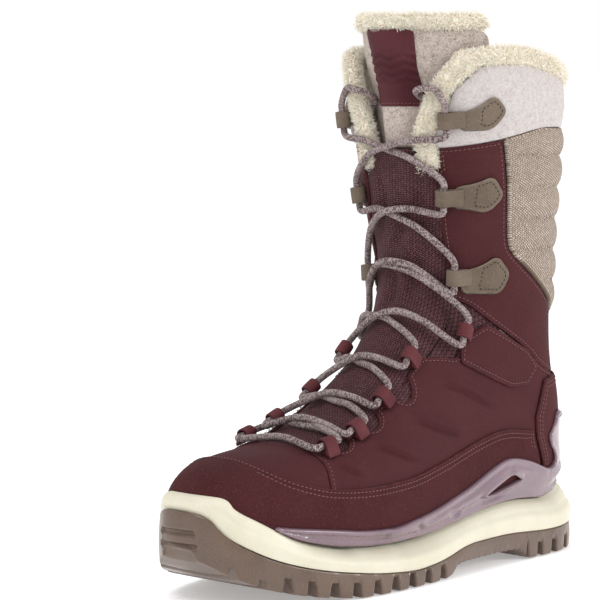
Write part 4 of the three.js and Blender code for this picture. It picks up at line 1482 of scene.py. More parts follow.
        open_gap = lambda p: -throat(p, GAP)
        both = (-PI, PI)
        front = (PI - 1.5, PI + 1.5)
        pieces = [
            Panel("rear_knit_panel", knit, (11, 18), (-2.3, 2.3), -FELT_RISE, LEATHER, KNIT, .9,
                  1.2, quilt, slot="knit"),
            Panel("collar_felt", lambda p: np.minimum.reduce(
                [felt(p), collar_top(p), -fur_zone(p) - GAP, open_gap(p), slit(p)]), (14, 19), both,
                  -FELT_RISE, LEATHER, FELT, 1.2, 1.5, felt_swell, slot="felt"),
            Panel("lining", lambda p: np.minimum.reduce(
                [collar_top(p), -fur_zone(p) - GAP, open_gap(p), slit(p)]), (-1, 19), both,
                  LINING_OUT, LINING_IN, FLEECE, .8, 2.4, slot="fleece"),
            Panel("collar_fur_trim", fur_zone, (14, 19), both, -FUR_RISE, LINING_IN, FUR, 3.4,
                  1.6, slot="fleece", rounded=True),
            Panel("tongue_mesh", lambda p: np.minimum.reduce(
                [throat(p, 1.1), tongue(p), 232 - p[..., 2], -fur_zone(p) - GAP]), (3, 17),
                  front, .6, LINING_IN, MESH, 1.2, 1.0, tongue_swell, slot="mesh")]
        for sign, name, theta in ((1, "lateral", (1.2, PI)), (-1, "medial", (-PI, -1.2))):
            pieces.append(Panel(
                f"gusset_{name}", lambda p, h=self.side(sign): np.minimum.reduce(
                    [throat(p, 13), gusset(p), open_gap(p), -fur_zone(p) - GAP, h(p)]), (3, 17),
                theta, LEATHER + GAP, LEATHER + GAP + STIFFENER, MESH, .4, 1.4, slot="mesh"))
        return pieces

    def build(self) -> None:
        """Build every piece, its stitches and its fur."""
        made = {panel.name: (panel, panel.build()) for panel in self.leather() + self.textile()}
        seams = Stitching("seam_stitches", THREAD, "nubuck")
        top = soften(RAND_TOP, 6)
        on_rand = lambda p: p[..., 2] - curve_at(top, p[..., 1]) + 9
        for level in (self.row_inset, self.row_inset + self.row_gap):
            seams.add(made["toe_rand"][0].sheet, level, .25, on_rand)
            seams.add(made["heel_counter_panel"][0].sheet, level, .25, lambda p: p[..., 2] - 50)
        for name in ("lateral", "medial"):
            seams.add(made[f"quarter_{name}"][0].sheet, self.row_inset, .5,
                      lambda p: np.minimum(p[..., 2] - 56, 8 - p[..., 1]))
            seams.add(made[f"shaft_panel_{name}"][0].sheet, self.row_inset, .15,
                      lambda p: np.minimum(p[..., 2] - 100, 22 - p[..., 1]))
            seams.add(made[f"ankle_strap_{name}"][0].sheet, self.row_inset, .25,
                      lambda p: p[..., 2])
        seams.build()
        for name, seed in (("locks", 5), ("fluff", 6), ("down", 7)):
            cover_with_fur(f"collar_fur_{name}", made["collar_fur_trim"][1], seed, .5, 2.9, "boot")


# ------------------------------------------------------------------ upper tongue
@dataclass
class UpperTongue:
    """The felt upper tongue with its fur edge and woven pull label."""

    half: float = 42.0
    low: float = 232.5
    fur_low: float = 299.0
    top: float = 306.0
    label_half: float = 17.0
    label_z: Tuple[float, float] = (256.0, 298.0)

    def box(self, half: float, low: float, high: float, reach: float = 4.0,
            waist: float = 0.0) -> Field:
        """Return a rounded rectangle in front view.

        Args:
            half: half width.
            low: lower edge.
            high: upper edge.
            reach: how far the corners are cut.
            waist: how far the sides pull in at mid height.

        Returns:
            Its distance field on the front of the boot.
        """
        mid = (low + high) / 2
        shape = Region(soften([(-half, low), (half, low), (half - waist, mid), (half, high),
                               (-half, high), (-half + waist, mid)], reach, 3, True), "front")
        return lambda p: np.where(p[..., 1] < -36, shape(p), -60.0)

    def build(self) -> None:
        """Build the three pieces, the fur and the label's stitches."""
        front = (PI - 1.7, PI + 1.7)
        face = TONGUE_FACE

        def swell(p: Array, d: Array) -> Array:
            """Crown the padded felt."""
            return 1.3 * (1 - np.exp(-np.maximum(d, 0) / 9)) - .6

        def shirr(p: Array, d: Array) -> Array:
            """Gather the label in small waves across its middle."""
            zig = np.abs(((p[:, 0] / 11 + 40.5) % 1) - .5) * 5
            band = np.exp(-((p[:, 2] - 277) / 9) ** 4)
            return .8 * band * np.sin((p[:, 2] + zig) * 2 * PI / 4.6) + .3

        felt = Panel("tongue_felt", self.box(self.half, self.low, self.fur_low - GAP, 3),
                     (12, 19), front, face, face + TONGUE_FELT, FELT_BROWN, 2.2, 1.4, swell,
                     True, lean, slot="felt", body="upper_tongue")
        fur = Panel("tongue_fur_trim", self.box(self.half + 1, self.fur_low, self.top - .8, 2.2),
                    (15, 19), front, face - 1, face + TONGUE_FELT + 1, FUR, 2.6, 1.3,
                    None, True, lean, slot="fleece", body="upper_tongue")
        label = Panel("tongue_label", self.box(self.label_half, *self.label_z, 1.5, 1.6),
                      (13, 19), front, face - GAP - .8, face - GAP, LABEL, .3, .8, shirr,
                      False, lean, slot="webbing", body="upper_tongue")
        pieces = [panel.build() for panel in (felt, fur, label)]
        rows = Stitching("label_stitches", THREAD, "webbing", "upper_tongue", 2.2, 1.4, .45)
        rows.add(label.sheet, 1.6, .3, lambda p: 262 - p[..., 2])
        rows.build()
        cover_with_fur("tongue_fur_locks", pieces[1], 11, 1.6, 2.8, "upper_tongue")


# ------------------------------------------------------------------ lacing
def unit(v: Array) -> Array:
    """Return a vector of length one."""
    return v / max(float(np.linalg.norm(v)), 1e-9)


def at_place(t: float, side: int, angle: float, inset: float) -> Array:
    """Return a point by section and angle from the front centre line."""
    return FORM.turned(t, PI - side * math.radians(angle), inset)


@dataclass
class Seat:
    """Where a loop or tab holds the lace."""

    t: float
    angle: float
    side: int
    base: float
    rise: float
    half: float

    def __post_init__(self) -> None:
        """Work out the seat's own directions."""
        at = at_place(self.t, self.side, self.angle, self.base)
        along = (at_place(self.t + .05, self.side, self.angle, self.base)
                 - at_place(self.t - .05, self.side, self.angle, self.base))
        self.pace = float(np.linalg.norm(along)) / .1
        self.along = unit(along)
        away = unit(at_place(self.t, self.side, self.angle + 1, self.base)
                    - at_place(self.t, self.side, self.angle - 1, self.base))
        self.out = unit(np.cross(away, self.along) * self.side)
        self.away = unit(np.cross(self.along, self.out) * self.side)
        self.centre = at + self.out * self.rise


@dataclass
class Lacing:
    """Webbing loops, leather tabs and the lace with its aglets."""

    bore: float = LACE / 2 + LACE_EASE
    loop_wall: float = 1.2
    loop_width: float = 8.0
    loop_tail: float = 7.0
    tab_wall: float = 2.0
    tab_tunnel: float = 9.0
    tab_tail: float = 11.0
    exit: float = 4.0
    aglet: float = 22.0
    step: float = 1.1
    sides: int = 14

    def seats(self, side: int) -> List[Seat]:
        """Return the places that hold the lace on one side, toe to top.

        Args:
            side: 1 outer, -1 inner.

        Returns:
            The seats.
        """
        found = []
        for i, (t, angle) in enumerate(LOOPS):
            base = -(GAP + .45) - (OVERLAY + GAP if i == 4 else 0)
            found.append(Seat(t, angle, side, base, self.bore + self.loop_wall,
                              self.loop_width / 2))
        for i, (t, angle) in enumerate(TABS):
            base = -(FUR_RISE + GAP if i == 2 else GAP) - .3
            found.append(Seat(t, angle, side, base, self.bore + self.tab_wall * .7,
                              self.tab_tunnel / 2))
        return found

    def fold(self, name: str, seat: Seat, wall: float, width: float, tail: float,
             finish: Finish, nodes: Sequence[str]) -> bpy.types.Object:
        """Build a strip folded round the lace, with its ends sewn down together.

        Args:
            name: the piece's name.
            seat: where it sits.
            wall: thickness of the strip.
            width: width of the strip along the lacing edge.
            tail: how far the ends reach away from the edge.
            finish: the material.
            nodes: frame nodes it stands for.

        Returns:
            The piece.
        """
        r = self.bore + wall
        end = np.array([tail, -r + wall])
        reach = math.hypot(*end)
        lift = math.acos(min(r / reach, .99)) + math.atan2(end[1], end[0])
        rim = [(r * math.cos(a), r * math.sin(a)) for a in np.linspace(lift, 1.5 * PI, 22)]
        ramp = [tuple(end + (np.array(rim[0]) - end) * f) for f in (0, .25, .5, .75)]
        floor = [(tail * f, -r) for f in (.3, .6, 1.0)]
        outer = np.array(ramp + rim + floor + [(tail + .25, -r + wall / 2)])
        turn = np.arctan2(outer[:, 1], outer[:, 0])
        inner = np.stack([np.cos(turn), np.sin(turn)], 1) * self.bore
        third = np.cross(seat.away, seat.out)
        count = len(outer)
        stations = [(-.5, .3), (-.47, .08), (-.25, 0), (0, 0), (.25, 0), (.47, .08), (.5, .3)]
        length = run_along(outer)
        points, uv, faces = [], [], []
        for share, pinch in stations:
            for ring, sign in ((outer, -1), (inner, 1)):
                size = np.linalg.norm(ring, axis=1)[:, None]
                spot = ring * (1 + sign * pinch / size)
                points.append(seat.centre + spot[:, :1] * seat.away + spot[:, 1:] * seat.out
                              + third * share * width)
                uv.append(np.stack([np.full(count, share * width), length], 1) * MM)
        for s in range(len(stations) - 1):
            for k in range(count):
                m = (k + 1) % count
                for ring in (0, 1):
                    a, b = (2 * s + ring) * count, (2 * s + 2 + ring) * count
                    quad = [a + k, b + k, b + m, a + m]
                    faces.append(quad if ring == 0 else quad[::-1])
        for s, flip in ((0, False), (len(stations) - 1, True)):
            for k in range(count):
                m = (k + 1) % count
                quad = [2 * s * count + k, 2 * s * count + m, (2 * s + 1) * count + m,
                        (2 * s + 1) * count + k]
                faces.append(quad[::-1] if flip else quad)
        points = np.vstack(points)
        made = make_object(name, points, face_out(points, faces), finish, np.vstack(uv),
                           np.full(len(points), 2.0))
        return settle(made, nodes)

    def strand(self, first: int, route: Dict[int, List[Seat]]) -> List[Array]:
        """Return one half of the lace, from the toe to inside the collar.

        Args:
            first: side of the lowest loop.
            route: seats of each side.

        Returns:
            The points it runs through.
        """
        under = -(LACE / 2 + .9)
        over = under - LACE - .5
        points: List[Array] = []
        last = len(route[1]) - 1
        side = first
        for k in range(last + 1):
            hold = route[side][k]
            for run in (-hold.half - self.exit, -hold.half * .5, hold.half * .5,
                        hold.half + self.exit):
                points.append(hold.centre + hold.along * run)
            if k < last:
                follow = route[-side][k + 1]
                high = side < 0
                leave = hold.t + (hold.half + self.exit) / hold.pace
                enter = follow.t - (follow.half + self.exit) / follow.pace
                shallow = under - (FUR_RISE if k == last - 1 else 1.2)
                for f in (.3, .5, .7):
                    t = leave + (enter - leave) * f
                    turn = side * (hold.angle + (-follow.angle - hold.angle) * f)
                    deep = (over if high else under) if f == .5 else shallow - (1.2 * high)
                    points.append(at_place(t, 1, turn, deep))
                side = -side
        inside = LINING_IN + LACE / 2 + TAIL_EASE
        for t, a, d in ((16.75, 30, -FUR_RISE - LACE / 2 - 2 * GAP), (16.72, 22, -4.2),
                        (16.68, 18.5, -.5), (16.64, 18.5, 4), (16.55, 22, inside),
                        (16.4, 30, inside), (16, 37, inside), (15.5, 42, inside),
                        (14.9, 45, inside + .6), (14.2, 46, inside + 2.2)):
            points.append(at_place(t, side, a, d))
        return points

    def smooth_path(self, points: Sequence[Array]) -> Array:
        """Return an even line through the points, with centripetal spacing.

        Args:
            points: points to run through.

        Returns:
            Even points along the line.
        """
        p = np.array(points)
        p = np.vstack([2 * p[0] - p[1], p, 2 * p[-1] - p[-2]])
        out = []
        for i in range(1, len(p) - 2):
            a, b, c, d = p[i - 1:i + 3]
            k = [max(float(np.linalg.norm(v)) ** .5, 1e-4) for v in (b - a, c - b, d - c)]
            m1 = ((b - a) / k[0] - (c - a) / (k[0] + k[1]) + (c - b) / k[1]) * k[1]
            m2 = ((c - b) / k[1] - (d - b) / (k[1] + k[2]) + (d - c) / k[2]) * k[1]
            f = np.linspace(0, 1, 14, endpoint=False)[:, None]
            out.append(b + m1 * f + (-3 * b + 3 * c - 2 * m1 - m2) * f ** 2
                       + (2 * b - 2 * c + m1 + m2) * f ** 3)
        line = np.vstack(out + [p[-2:-1]])
        run = run_along(line)
        even = np.linspace(0, run[-1], int(run[-1] / self.step))
        return np.stack([np.interp(even, run, line[:, k]) for k in range(3)], 1)

    def tube(self, name: str, line: Array, radius: Array, finish: Finish, node: str) -> bpy.types.Object:
        """Build a round piece along a line.

        Args:
            name: the piece's name.
            line: centre points.
            radius: radius at each point.
            finish: the material.
            node: the frame node it stands for.

        Returns:
            The piece.
        """
        way = np.gradient(line, axis=0)
        way /= np.linalg.norm(way, axis=1)[:, None]
        up = unit(np.cross(way[0], (0, 0, 1.0)))
        rings = []
        for p, w, r in zip(line, way, radius):
            up = unit(up - w * float(up @ w))
            side = np.cross(w, up)
            angle = np.arange(self.sides) * 2 * PI / self.sides
            rings.append(p + r * (np.cos(angle)[:, None] * up + np.sin(angle)[:, None] * side))
        n, count = self.sides, len(line)
        faces = [[i * n + k, i * n + (k + 1) % n, (i + 1) * n + (k + 1) % n, (i + 1) * n + k]
                 for i in range(count - 1) for k in range(n)]
        faces += [list(range(n))[::-1], [(count - 1) * n + k for k in range(n)]]
        points = np.vstack(rings)
        faces = face_out(points, faces)
        run = run_along(line)
        made = make_object(name, points, faces, finish)
        layer = made.data.uv_layers.new(name="UVMap")
        for polygon in made.data.polygons:
            for loop, vertex in zip(polygon.loop_indices, polygon.vertices):
                i, k = divmod(vertex, n)
                if k == 0 and any(v % n == n - 1 for v in polygon.vertices):
                    k = n
                layer.data[loop].uv = (k / n, run[i] * MM)
        return settle(made, (node,))

    def build(self) -> None:
        """Build loops, tabs, lace and aglets."""
        route = {side: self.seats(side) for side in (1, -1)}
        dark = Stitching("tab_stitches", THREAD_DARK, "tab_leather", "boot", 2.3, 1.5, .55)
        for side, name in ((1, "lateral"), (-1, "medial")):
            for i in range(len(LOOPS)):
                node = f"webbing_loop_{name}_{i + 1}"
                self.fold(node, route[side][i], self.loop_wall, self.loop_width,
                          self.loop_tail, WEBBING, (node,))
            for i, plate in enumerate(TAB_PLATES):
                node = f"lace_tab_{name}_{i + 1}"
                base = FUR_RISE + GAP if i == 2 else GAP
                shape = Region(soften(plate, 2.2, 2, True), step=.6)
                inside = lambda p, s=side, f=shape: np.minimum(f(p), p[..., 0] * s - THROAT - 2)
                panel = Panel(node, inside, (9.5, 18), (.6, PI) if side > 0 else (-PI, -.6),
                              -base - self.tab_wall, -base, TAB, .6, .9,
                              lambda p, d: .25 * (1 - np.exp(-np.maximum(d, 0) / 3)),
                              slot="tab_leather")
                panel.build()
                self.fold(f"lace_tab_fold_{name}_{i + 1}", route[side][len(LOOPS) + i],
                          self.tab_wall * .7, self.tab_tunnel, self.tab_tail, TAB, ())
                front = plate[1][0] + 1.5
                rows = Sheet(lambda p, f=inside, y=front: np.minimum(f(p) - 2.2, p[..., 1] - y),
                             panel.t, panel.theta, .9, -base - self.tab_wall)
                dark.add(rows, .15, .3, lambda p: p[..., 2])
        dark.build()
        left, right = self.strand(1, route), self.strand(-1, route)
        bar = at_place(4.25, 1, 0, -(LACE / 2 + .9))
        line = self.smooth_path(list(reversed(left)) + [bar] + right)
        LOG.info("lace length %.0f mm", run_along(line)[-1])
        self.tube("lace", line, np.full(len(line), LACE / 2), CORD, "lace")
        for name, points in (("lateral", left), ("medial", right)):
            way = unit(points[-1] - points[-2])
            start = points[-1] + way * GAP
            spans = np.array([0, .03, .1, .5, .9, .97, 1.0])
            radius = (LACE / 2 - .5) * np.array([.8, 1, 1, 1, .96, .85, .5])
            tip = start + way * self.aglet * spans[:, None]
            self.tube(f"aglet_{name}", tip, radius, PLASTIC, f"aglet_{name}")


def face_out(points: Array, faces: List[List[int]]) -> List[List[int]]:
    """Return the faces turned so that a closed piece faces outwards.

    Args:
        points: corner positions.
        faces: corner numbers.

    Returns:
        The faces, turned if need be.
    """
    centre = points.mean(0)
    volume = 0.0
    for face in faces:
        a = points[face[0]] - centre
        for k in range(1, len(face) - 1):
            volume += float(np.dot(a, np.cross(points[face[k]] - centre,
                                               points[face[k + 1]] - centre)))
    return faces if volume > 0 else [face[::-1] for face in faces]


# ------------------------------------------------------------------ sole
class PlanSheet(Sheet):
    """A grid over the sole's plan, cut by the plan outline."""

    def __init__(self, inside: Field, low: Point, high: Point, step: float) -> None:
        """Lay a flat grid of x and y.

        Args:
            inside: distance field of the outline.
            low: least x and y.
            high: greatest x and y.
            step: grid spacing.
        """
        self.move = lambda p: p
        self.face = 0.0
        self.around = False
        self.t_axis = np.zeros(1)
        x = np.arange(low[0], high[0], step)
        y = np.arange(low[1], high[1], step)
        self.grid = tuple(np.meshgrid(x, y, indexing="ij"))
        p = np.stack([self.grid[0], self.grid[1], 0 * self.grid[0]], -1)
        self.d = inside(p)
        fx, fy = np.gradient(self.d, step)
        self.g = np.stack([fx, fy, 0 * fx], -1)
        self.n = np.zeros_like(self.g)
        self.n[..., 2] = -1.0


def closed_spline(points: Sequence[Point], count: int) -> Array:
    """Return a smooth closed loop through the points.

    Args:
        points: corners of the loop.
        count: points to return.

    Returns:
        Evenly spaced points.
    """
    p = np.array(points, float)
    n = len(p)
    s = np.linspace(0, n, count, endpoint=False)
    i = s.astype(int)
    f = (s - i)[:, None]
    a, b, c, d = p[(i - 1) % n], p[i % n], p[(i + 1) % n], p[(i + 2) % n]
    return .5 * (2 * b + (c - a) * f + (2 * a - 5 * b + 4 * c - d) * f ** 2
                 + (3 * b - a - 3 * c + d) * f ** 3)


@dataclass
class Sole:
    """Outsole, midsole and the moulded stabiliser frame."""

    lug: float = 4.0
    groove: float = 4.0
    pitch: float = 14.0
    flare: float = 2.5
    cut_depth: float = 1.4
    cut_width: float = 1.3
    wall_rows: int = 34
    around: int = 460

    def tread(self, p: Array) -> Array:
        """Return the height of the tread's face with its grooves.

        Args:
            p: points, millimetres.

        Returns:
            Heights, millimetres.
        """
        x, y = p[..., 0], p[..., 1]
        base = curve_at(soften(TREAD, 5), y)
        bow = y - 3.0 * np.cos(x / 17)
        front = (bow + 246) % self.pitch
        back = (bow + 12 + 2 * self.pitch) % self.pitch
        cell = np.where(y < -60, front, back)
        deep = self.step(cell, self.groove)
        edge = np.clip((np.abs(x) - 34) / 4, 0, 1)
        wide = self.step((cell + .8) % self.pitch, self.groove + 1.6)
        deep = np.maximum(deep, wide * edge * 1.9)
        for centre, low, high in ((-27, -176, -96), (0, -176, -96), (27, -176, -96),
                                  (-15, -28, 60), (15, -28, 60)):
            across = np.abs(x - centre - 1.5 * np.sin(y / 7)) - self.groove / 2
            mask = (y > low) & (y < high)
            deep = np.maximum(deep, np.clip(.5 - across / .9, 0, 1) * mask)
        arch = (y > -96) & (y < -26)
        fine = .6 * (np.abs((y / 5) % 1 - .5) < .16) * arch
        return base + np.where(arch, fine, deep * (self.lug + .15))

    def step(self, cell: Array, width: float) -> Array:
        """Return 1 in a groove and 0 on a lug, with sloped sides."""
        return np.clip(np.minimum(cell, width - cell) / .9 + .5, 0, 1)

    def outsole(self) -> None:
        """Build the rubber outsole with its lugs and toe bumper."""
        loop = closed_spline(SOLE_PLAN, 300)
        plan = Region([tuple(p) for p in loop], "plan", .8)
        sheet = PlanSheet(plan, (-58, -260), (60, 43), .95)
        part = sheet.cut(.9)
        flat = np.stack([part.t, part.u, 0 * part.t], -1)
        low = flat.copy()
        low[:, 2] = self.tread(flat)
        under = form_tree(POCKET)
        split = soften(SOLE_SPLIT, 5)
        high = flat.copy()
        for k, (x, y, _) in enumerate(flat):
            z = float(curve_at(split, np.array(y)))
            hit = under.ray_cast(Vector((x, y, -20)), Vector((0, 0, 1)))[0]
            high[k, 2] = min(z, hit[2] - .1) if hit else z
        count = len(low)
        faces = [list(f)[::-1] for f in part.faces] + [[v + count for v in f] for f in part.faces]
        points, total = [low, high], 2 * count
        for ring in part.loops:
            index = np.array(ring)
            out = -part.g[index] * [1, 1, 0]
            bottom, top = low[index], high[index]
            rows = [bottom + out * .9 * math.sin(a) + [0, 0, .9 * (1 - math.cos(a))]
                    for a in (PI / 6, PI / 3, PI / 2)]
            edge = rows[-1]
            for f in np.linspace(0, 1, self.wall_rows)[1:]:
                z = edge[:, 2] + (np.maximum(top[:, 2], edge[:, 2] + .5) - edge[:, 2]) * f
                dent = np.zeros(len(z))
                near = (np.abs(edge[:, 0] + 2) < 13 - (z - 31) ** 2 / 60) & (edge[:, 1] < -247)
                for level in (24, 31, 38):
                    dent += near * np.exp(-((z - level - 1) / 1.3) ** 4) * 1.7
                bulge = .5 * math.sin(PI * f)
                spot = edge + out * (bulge - dent - .8 * (f > .99))[:, None]
                spot[:, 2] = z
                rows.append(spot)
            chain = [index]
            for row in rows:
                points.append(row)
                chain.append(np.arange(total, total + len(index)))
                total += len(index)
            chain.append(index + count)
            for a, b in zip(chain, chain[1:]):
                for k in range(len(index)):
                    m = (k + 1) % len(index)
                    faces.append([a[k], a[m], b[m], b[k]])
        stack = np.vstack(points)
        made = make_object("outsole", stack, face_out(stack, faces), RUBBER)
        settle(made, ("outsole",))

    def midsole(self) -> None:
        """Build the foam midsole as a cup wall round the upper."""
        loop = closed_spline(SOLE_PLAN, self.around)
        ahead = np.clip((-loop[:, 1] - 225) / 31, 0, 1)
        loop[:, 1] += self.flare * ahead * ahead * (3 - 2 * ahead)
        way = np.roll(loop, -1, 0) - np.roll(loop, 1, 0)
        way /= np.linalg.norm(way, axis=1)[:, None]
        inward = np.stack([way[:, 1], -way[:, 0]], 1)
        if ((inward * -(loop - loop.mean(0))).sum(1) < 0).mean() > .5:
            inward = -inward
        wall = form_tree(-1.1)
        top = curve_at(soften(SOLE_TOP, 7), loop[:, 1])
        low = curve_at(soften(SOLE_SPLIT, 5), loop[:, 1]) + GAP
        depth = []
        for (x, y), (ix, iy), z in zip(loop, inward, top):
            hit = wall.ray_cast(Vector((x, y, z - 1)), Vector((ix, iy, 0)), 16)
            depth.append(hit[3] if hit[0] else 12.0)
        depth = np.array(depth)
        for _ in range(3):
            depth = (np.roll(depth, 1) + depth + np.roll(depth, -1)) / 3
        tall = top - low
        shape: List[Tuple[Array, Array]] = [(np.full(len(loop), 11.0), low), (0 * low + .2, low)]
        for f in np.linspace(.03, .9, 15):
            pinch = .9 * np.exp(-((f - .62) / .07) ** 2) * np.clip((tall - 12) / 8, 0, 1)
            slope = np.maximum(depth - 3.2, 0) * max(0.0, (f - .35) / .65) ** 1.5
            shape.append((slope - .9 * math.sin(PI * f) + pinch, low + tall * f))
        for a in (.35, .7, 1.05, 1.4):
            shape.append((np.maximum(depth - 3.2, 0) + 2.2 * (1 - math.cos(a)),
                          low + tall * .9 + (tall * .1) * math.sin(a)))
        shape.append((np.maximum(depth - .6, 2.6), top))
        shape.append((np.maximum(depth, 3.0), top - .25))
        shape.append((np.maximum(depth + .6, 3.4), top - 2.5))
        shape.append((np.maximum(depth + .6, 11.0), low + .6 + 0 * top))
        points = [np.stack([loop[:, 0] + inward[:, 0] * d, loop[:, 1] + inward[:, 1] * d, z], 1)
                  for d, z in shape]
        n, rows = len(loop), len(shape)
        faces = [[r * n + k, r * n + (k + 1) % n, ((r + 1) % rows) * n + (k + 1) % n,
                  ((r + 1) % rows) * n + k] for r in range(rows) for k in range(n)]
        stack = np.vstack(points)
        made = make_object("midsole", stack, face_out(stack, faces), FOAM)
        settle(made, ("midsole",))

    def frame(self) -> None:
        """Build the stabiliser frame with its windows and moulded ribs."""
        body = Region(soften(FRAME_TOP, 4, 2)
                      + [(y, z + GAP) for y, z in reversed(soften(SOLE_TOP, 6)) if -226 < y])
        window = Region(FRAME_WINDOW, step=.6)
        ticks = groove(FRAME_CUTS, (1, 2), self.cut_depth, self.cut_width)

        def relief(p: Array, d: Array) -> Array:
            """Raise a rim, hollow the face and run a rib along it."""
            away, _ = line_distance(FRAME_RIB, p[:, 1], p[:, 2])
            hollow = -1.1 * np.clip((d - 2.0) / 1.4, 0, 1)
            wing = np.where(p[:, 1] > 4, .9 * np.sin((p[:, 2] - 40) / 5.2), 0)
            near = np.clip(1 + window(p) / 2.4, 0, 1)
            return hollow + 1.2 * np.clip(1.4 - away / 2.4, 0, 1) + ticks(p, d) + wing * .6 \
                + .8 * near

        Panel("stabilizer_frame", lambda p: np.minimum(body(p), -window(p)), (2, 13), (-PI, PI),
              POCKET - FRAME_WALL, POCKET, FRAME, .9, 1.1, relief, slot="frame_plastic").build()

    def build(self) -> None:
        """Build the three pieces."""
        self.outsole()
        self.midsole()
        self.frame()


def form_tree(inset: float) -> BVHTree:
    """Return the form at one inset as a surface that rays can meet.

    Args:
        inset: millimetres inwards.

    Returns:
        The surface.
    """
    t = np.linspace(0, 14, 90)
    u = np.linspace(-PI, PI, 121)
    grid = FORM.polar(*np.meshgrid(t, u, indexing="ij"), inset)
    n = len(u)
    faces = [(i * n + j, (i + 1) * n + j, (i + 1) * n + j + 1, i * n + j + 1)
             for i in range(len(t) - 1) for j in range(n - 1)]
    return BVHTree.FromPolygons([Vector(p) for p in grid.reshape(-1, 3)], faces)


@dataclass
class Inside:
    """The removable footbed and the hidden stiffening pieces."""

    ease: float = 1.2
    across: int = 22
    along: int = 70

    def footbed(self) -> None:
        """Build the cupped footbed on the insole."""
        wall = form_tree(LINING_IN + self.ease)
        stations = np.linspace(-234, 24, self.along)
        top, low, kept = [], [], []
        for y in stations:
            z = float(curve_at(soften(FOOTBED_TOP, 10), np.array(y)))
            hits = [wall.ray_cast(Vector((0, y, z - .3)), Vector((s, 0, 0)), 80)[0]
                    for s in (-1, 1)]
            if not all(hits):
                continue
            x0, x1 = hits[0][0] + .4, hits[1][0] - .4
            f = np.linspace(0, 1, self.across)
            x = x0 + (x1 - x0) * f
            cup = 2.2 * (np.abs(2 * f - 1) ** 4) - 1.0
            heights = z - 1.2 + cup
            floor = []
            for xx, zz in zip(x, heights):
                hit = wall.ray_cast(Vector((xx, y, zz)), Vector((0, 0, -1)), 30)[0]
                floor.append(min(hit[2] + .15 if hit else zz - 1.5, zz - .6))
            top.append(np.stack([x, 0 * x + y, heights], 1))
            low.append(np.stack([x, 0 * x + y, floor], 1))
            kept.append(y)
        m, n = self.across, len(top)
        points = np.vstack(top + low)
        faces = []
        for i in range(n - 1):
            for k in range(m - 1):
                a = i * m + k
                faces.append([a, a + 1, a + m + 1, a + m])
                faces.append([v + n * m for v in (a + m, a + m + 1, a + 1, a)])
        rim = ([k for k in range(m)] + [i * m + m - 1 for i in range(1, n)]
               + [(n - 1) * m + k for k in range(m - 2, -1, -1)]
               + [i * m for i in range(n - 2, 0, -1)])
        for a, b in zip(rim, rim[1:] + rim[:1]):
            faces.append([b, a, a + n * m, b + n * m])
        made = make_object("footbed", points, face_out(points, faces), FELT_BROWN)
        settle(made, ("footbed",), "footbed")

    def build(self) -> None:
        """Build the footbed and dress the hidden pieces."""
        self.footbed()
        for node, finish in (("toe_puff", BOARD), ("heel_stiffener", BOARD),
                             ("insole_board", BOARD), ("shank", STEEL)):
            piece = bpy.data.objects[node]
            piece.data.materials.clear()
            piece.data.materials.append(finish.material())
            LOG.info("%s: dressed", node)


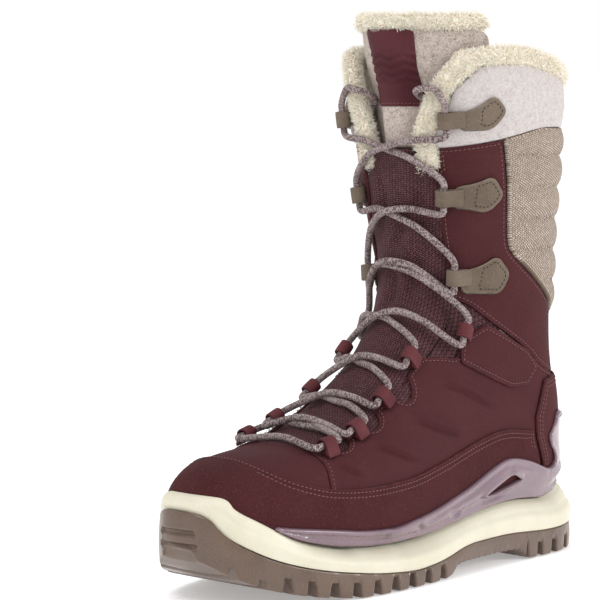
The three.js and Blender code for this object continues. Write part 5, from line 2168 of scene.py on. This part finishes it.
# ------------------------------------------------------------------ studio
@dataclass
class Studio:
    """Pale floor, soft lights and the camera."""

    azimuth: float = 43.0
    pitch: float = 4.816
    distance: float = 1.5
    focal: float = 159.56
    target: Tuple[float, float, float] = (-.05216, -.10864, .14673)
    reach: float = 40.0
    paper_glow: float = .3

    def light(self, name: str, place: Sequence[float], size: float, power: float,
              colour: Colour = (1, 1, 1)) -> None:
        """Add an area light that looks at the boot.

        Args:
            name: the light's name.
            place: where it stands, metres.
            size: diameter, metres.
            power: watts.
            colour: its colour.
        """
        data = bpy.data.lights.new(name, "AREA")
        data.shape = "DISK"
        data.size = size
        data.energy = power
        data.color = colour
        lamp = bpy.data.objects.new(name, data)
        lamp.location = place
        aim = Vector((0, -.1, .14)) - Vector(place)
        lamp.rotation_euler = aim.to_track_quat("-Z", "Y").to_euler()
        bpy.context.scene.collection.objects.link(lamp)

    def build(self) -> None:
        """Set the floor, world, lights and camera."""
        scene = bpy.context.scene
        scene.view_settings.view_transform = "Standard"
        world = bpy.data.worlds.new("studio")
        world.use_nodes = True
        w = Wiring(world.node_tree)
        up = w.add("ShaderNodeSeparateXYZ", {
            0: w.add("ShaderNodeTexCoord").outputs["Generated"]}).outputs[2]
        band = w.ramp(w.math("ABSOLUTE", up), .3, .12)
        sky = w.mix(band, (.74, .74, .75, 1), (1, 1, 1, 1))
        world.node_tree.links.new(sky, world.node_tree.nodes["Background"].inputs[0])
        scene.world = world
        mesh = bpy.data.meshes.new("studio_floor")
        far = self.reach
        corners = [(-far, -far, 0), (far, -far, 0), (far, far, 0), (-far, far, 0)]
        mesh.from_pydata(corners, [], [(0, 1, 2, 3)])
        floor = bpy.data.objects.new("studio_floor", mesh)
        paper = bpy.data.materials.new("studio_paper")
        paper.use_nodes = True
        sheet = paper.node_tree.nodes["Principled BSDF"]
        w = Wiring(paper.node_tree)
        where = w.add("ShaderNodeTexCoord").outputs["Object"]
        shade = w.mix(w.noise(where, 60.0, 2.0), (.96, .96, .96, 1), (.975, .975, .975, 1))
        paper.node_tree.links.new(shade, sheet.inputs["Base Color"])
        sheet.inputs["Roughness"].default_value = .9
        sheet.inputs["Emission Color"].default_value = (1, 1, 1, 1)
        sheet.inputs["Emission Strength"].default_value = self.paper_glow
        mesh.materials.append(paper)
        scene.collection.objects.link(floor)
        floor.location.z = -.0005
        self.light("key_light", (.0, -1.2, 1.6), .8, 12)
        self.light("side_light", (1.4, .6, .7), .5, 11)
        self.light("left_light", (-1.4, -.9, .8), .8, 1)
        camera = bpy.data.objects.new("camera", bpy.data.cameras.new("camera"))
        camera.data.lens = self.focal
        camera.data.sensor_width = 36
        a, e = math.radians(self.azimuth), math.radians(self.pitch)
        back = Vector((math.sin(a) * math.cos(e), -math.cos(a) * math.cos(e), math.sin(e)))
        camera.location = Vector(self.target) + back * self.distance
        camera.rotation_euler = (-back).to_track_quat("-Z", "Y").to_euler()
        scene.collection.objects.link(camera)
        scene.camera = camera


def main() -> None:
    """Build the boot on its frame and set up the studio."""
    logging.basicConfig(level=logging.INFO, format="%(message)s")
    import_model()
    Sole().build()
    Upper().build()
    UpperTongue().build()
    Lacing().build()
    Inside().build()
    Studio().build()


if __name__ == "__main__":
    main()
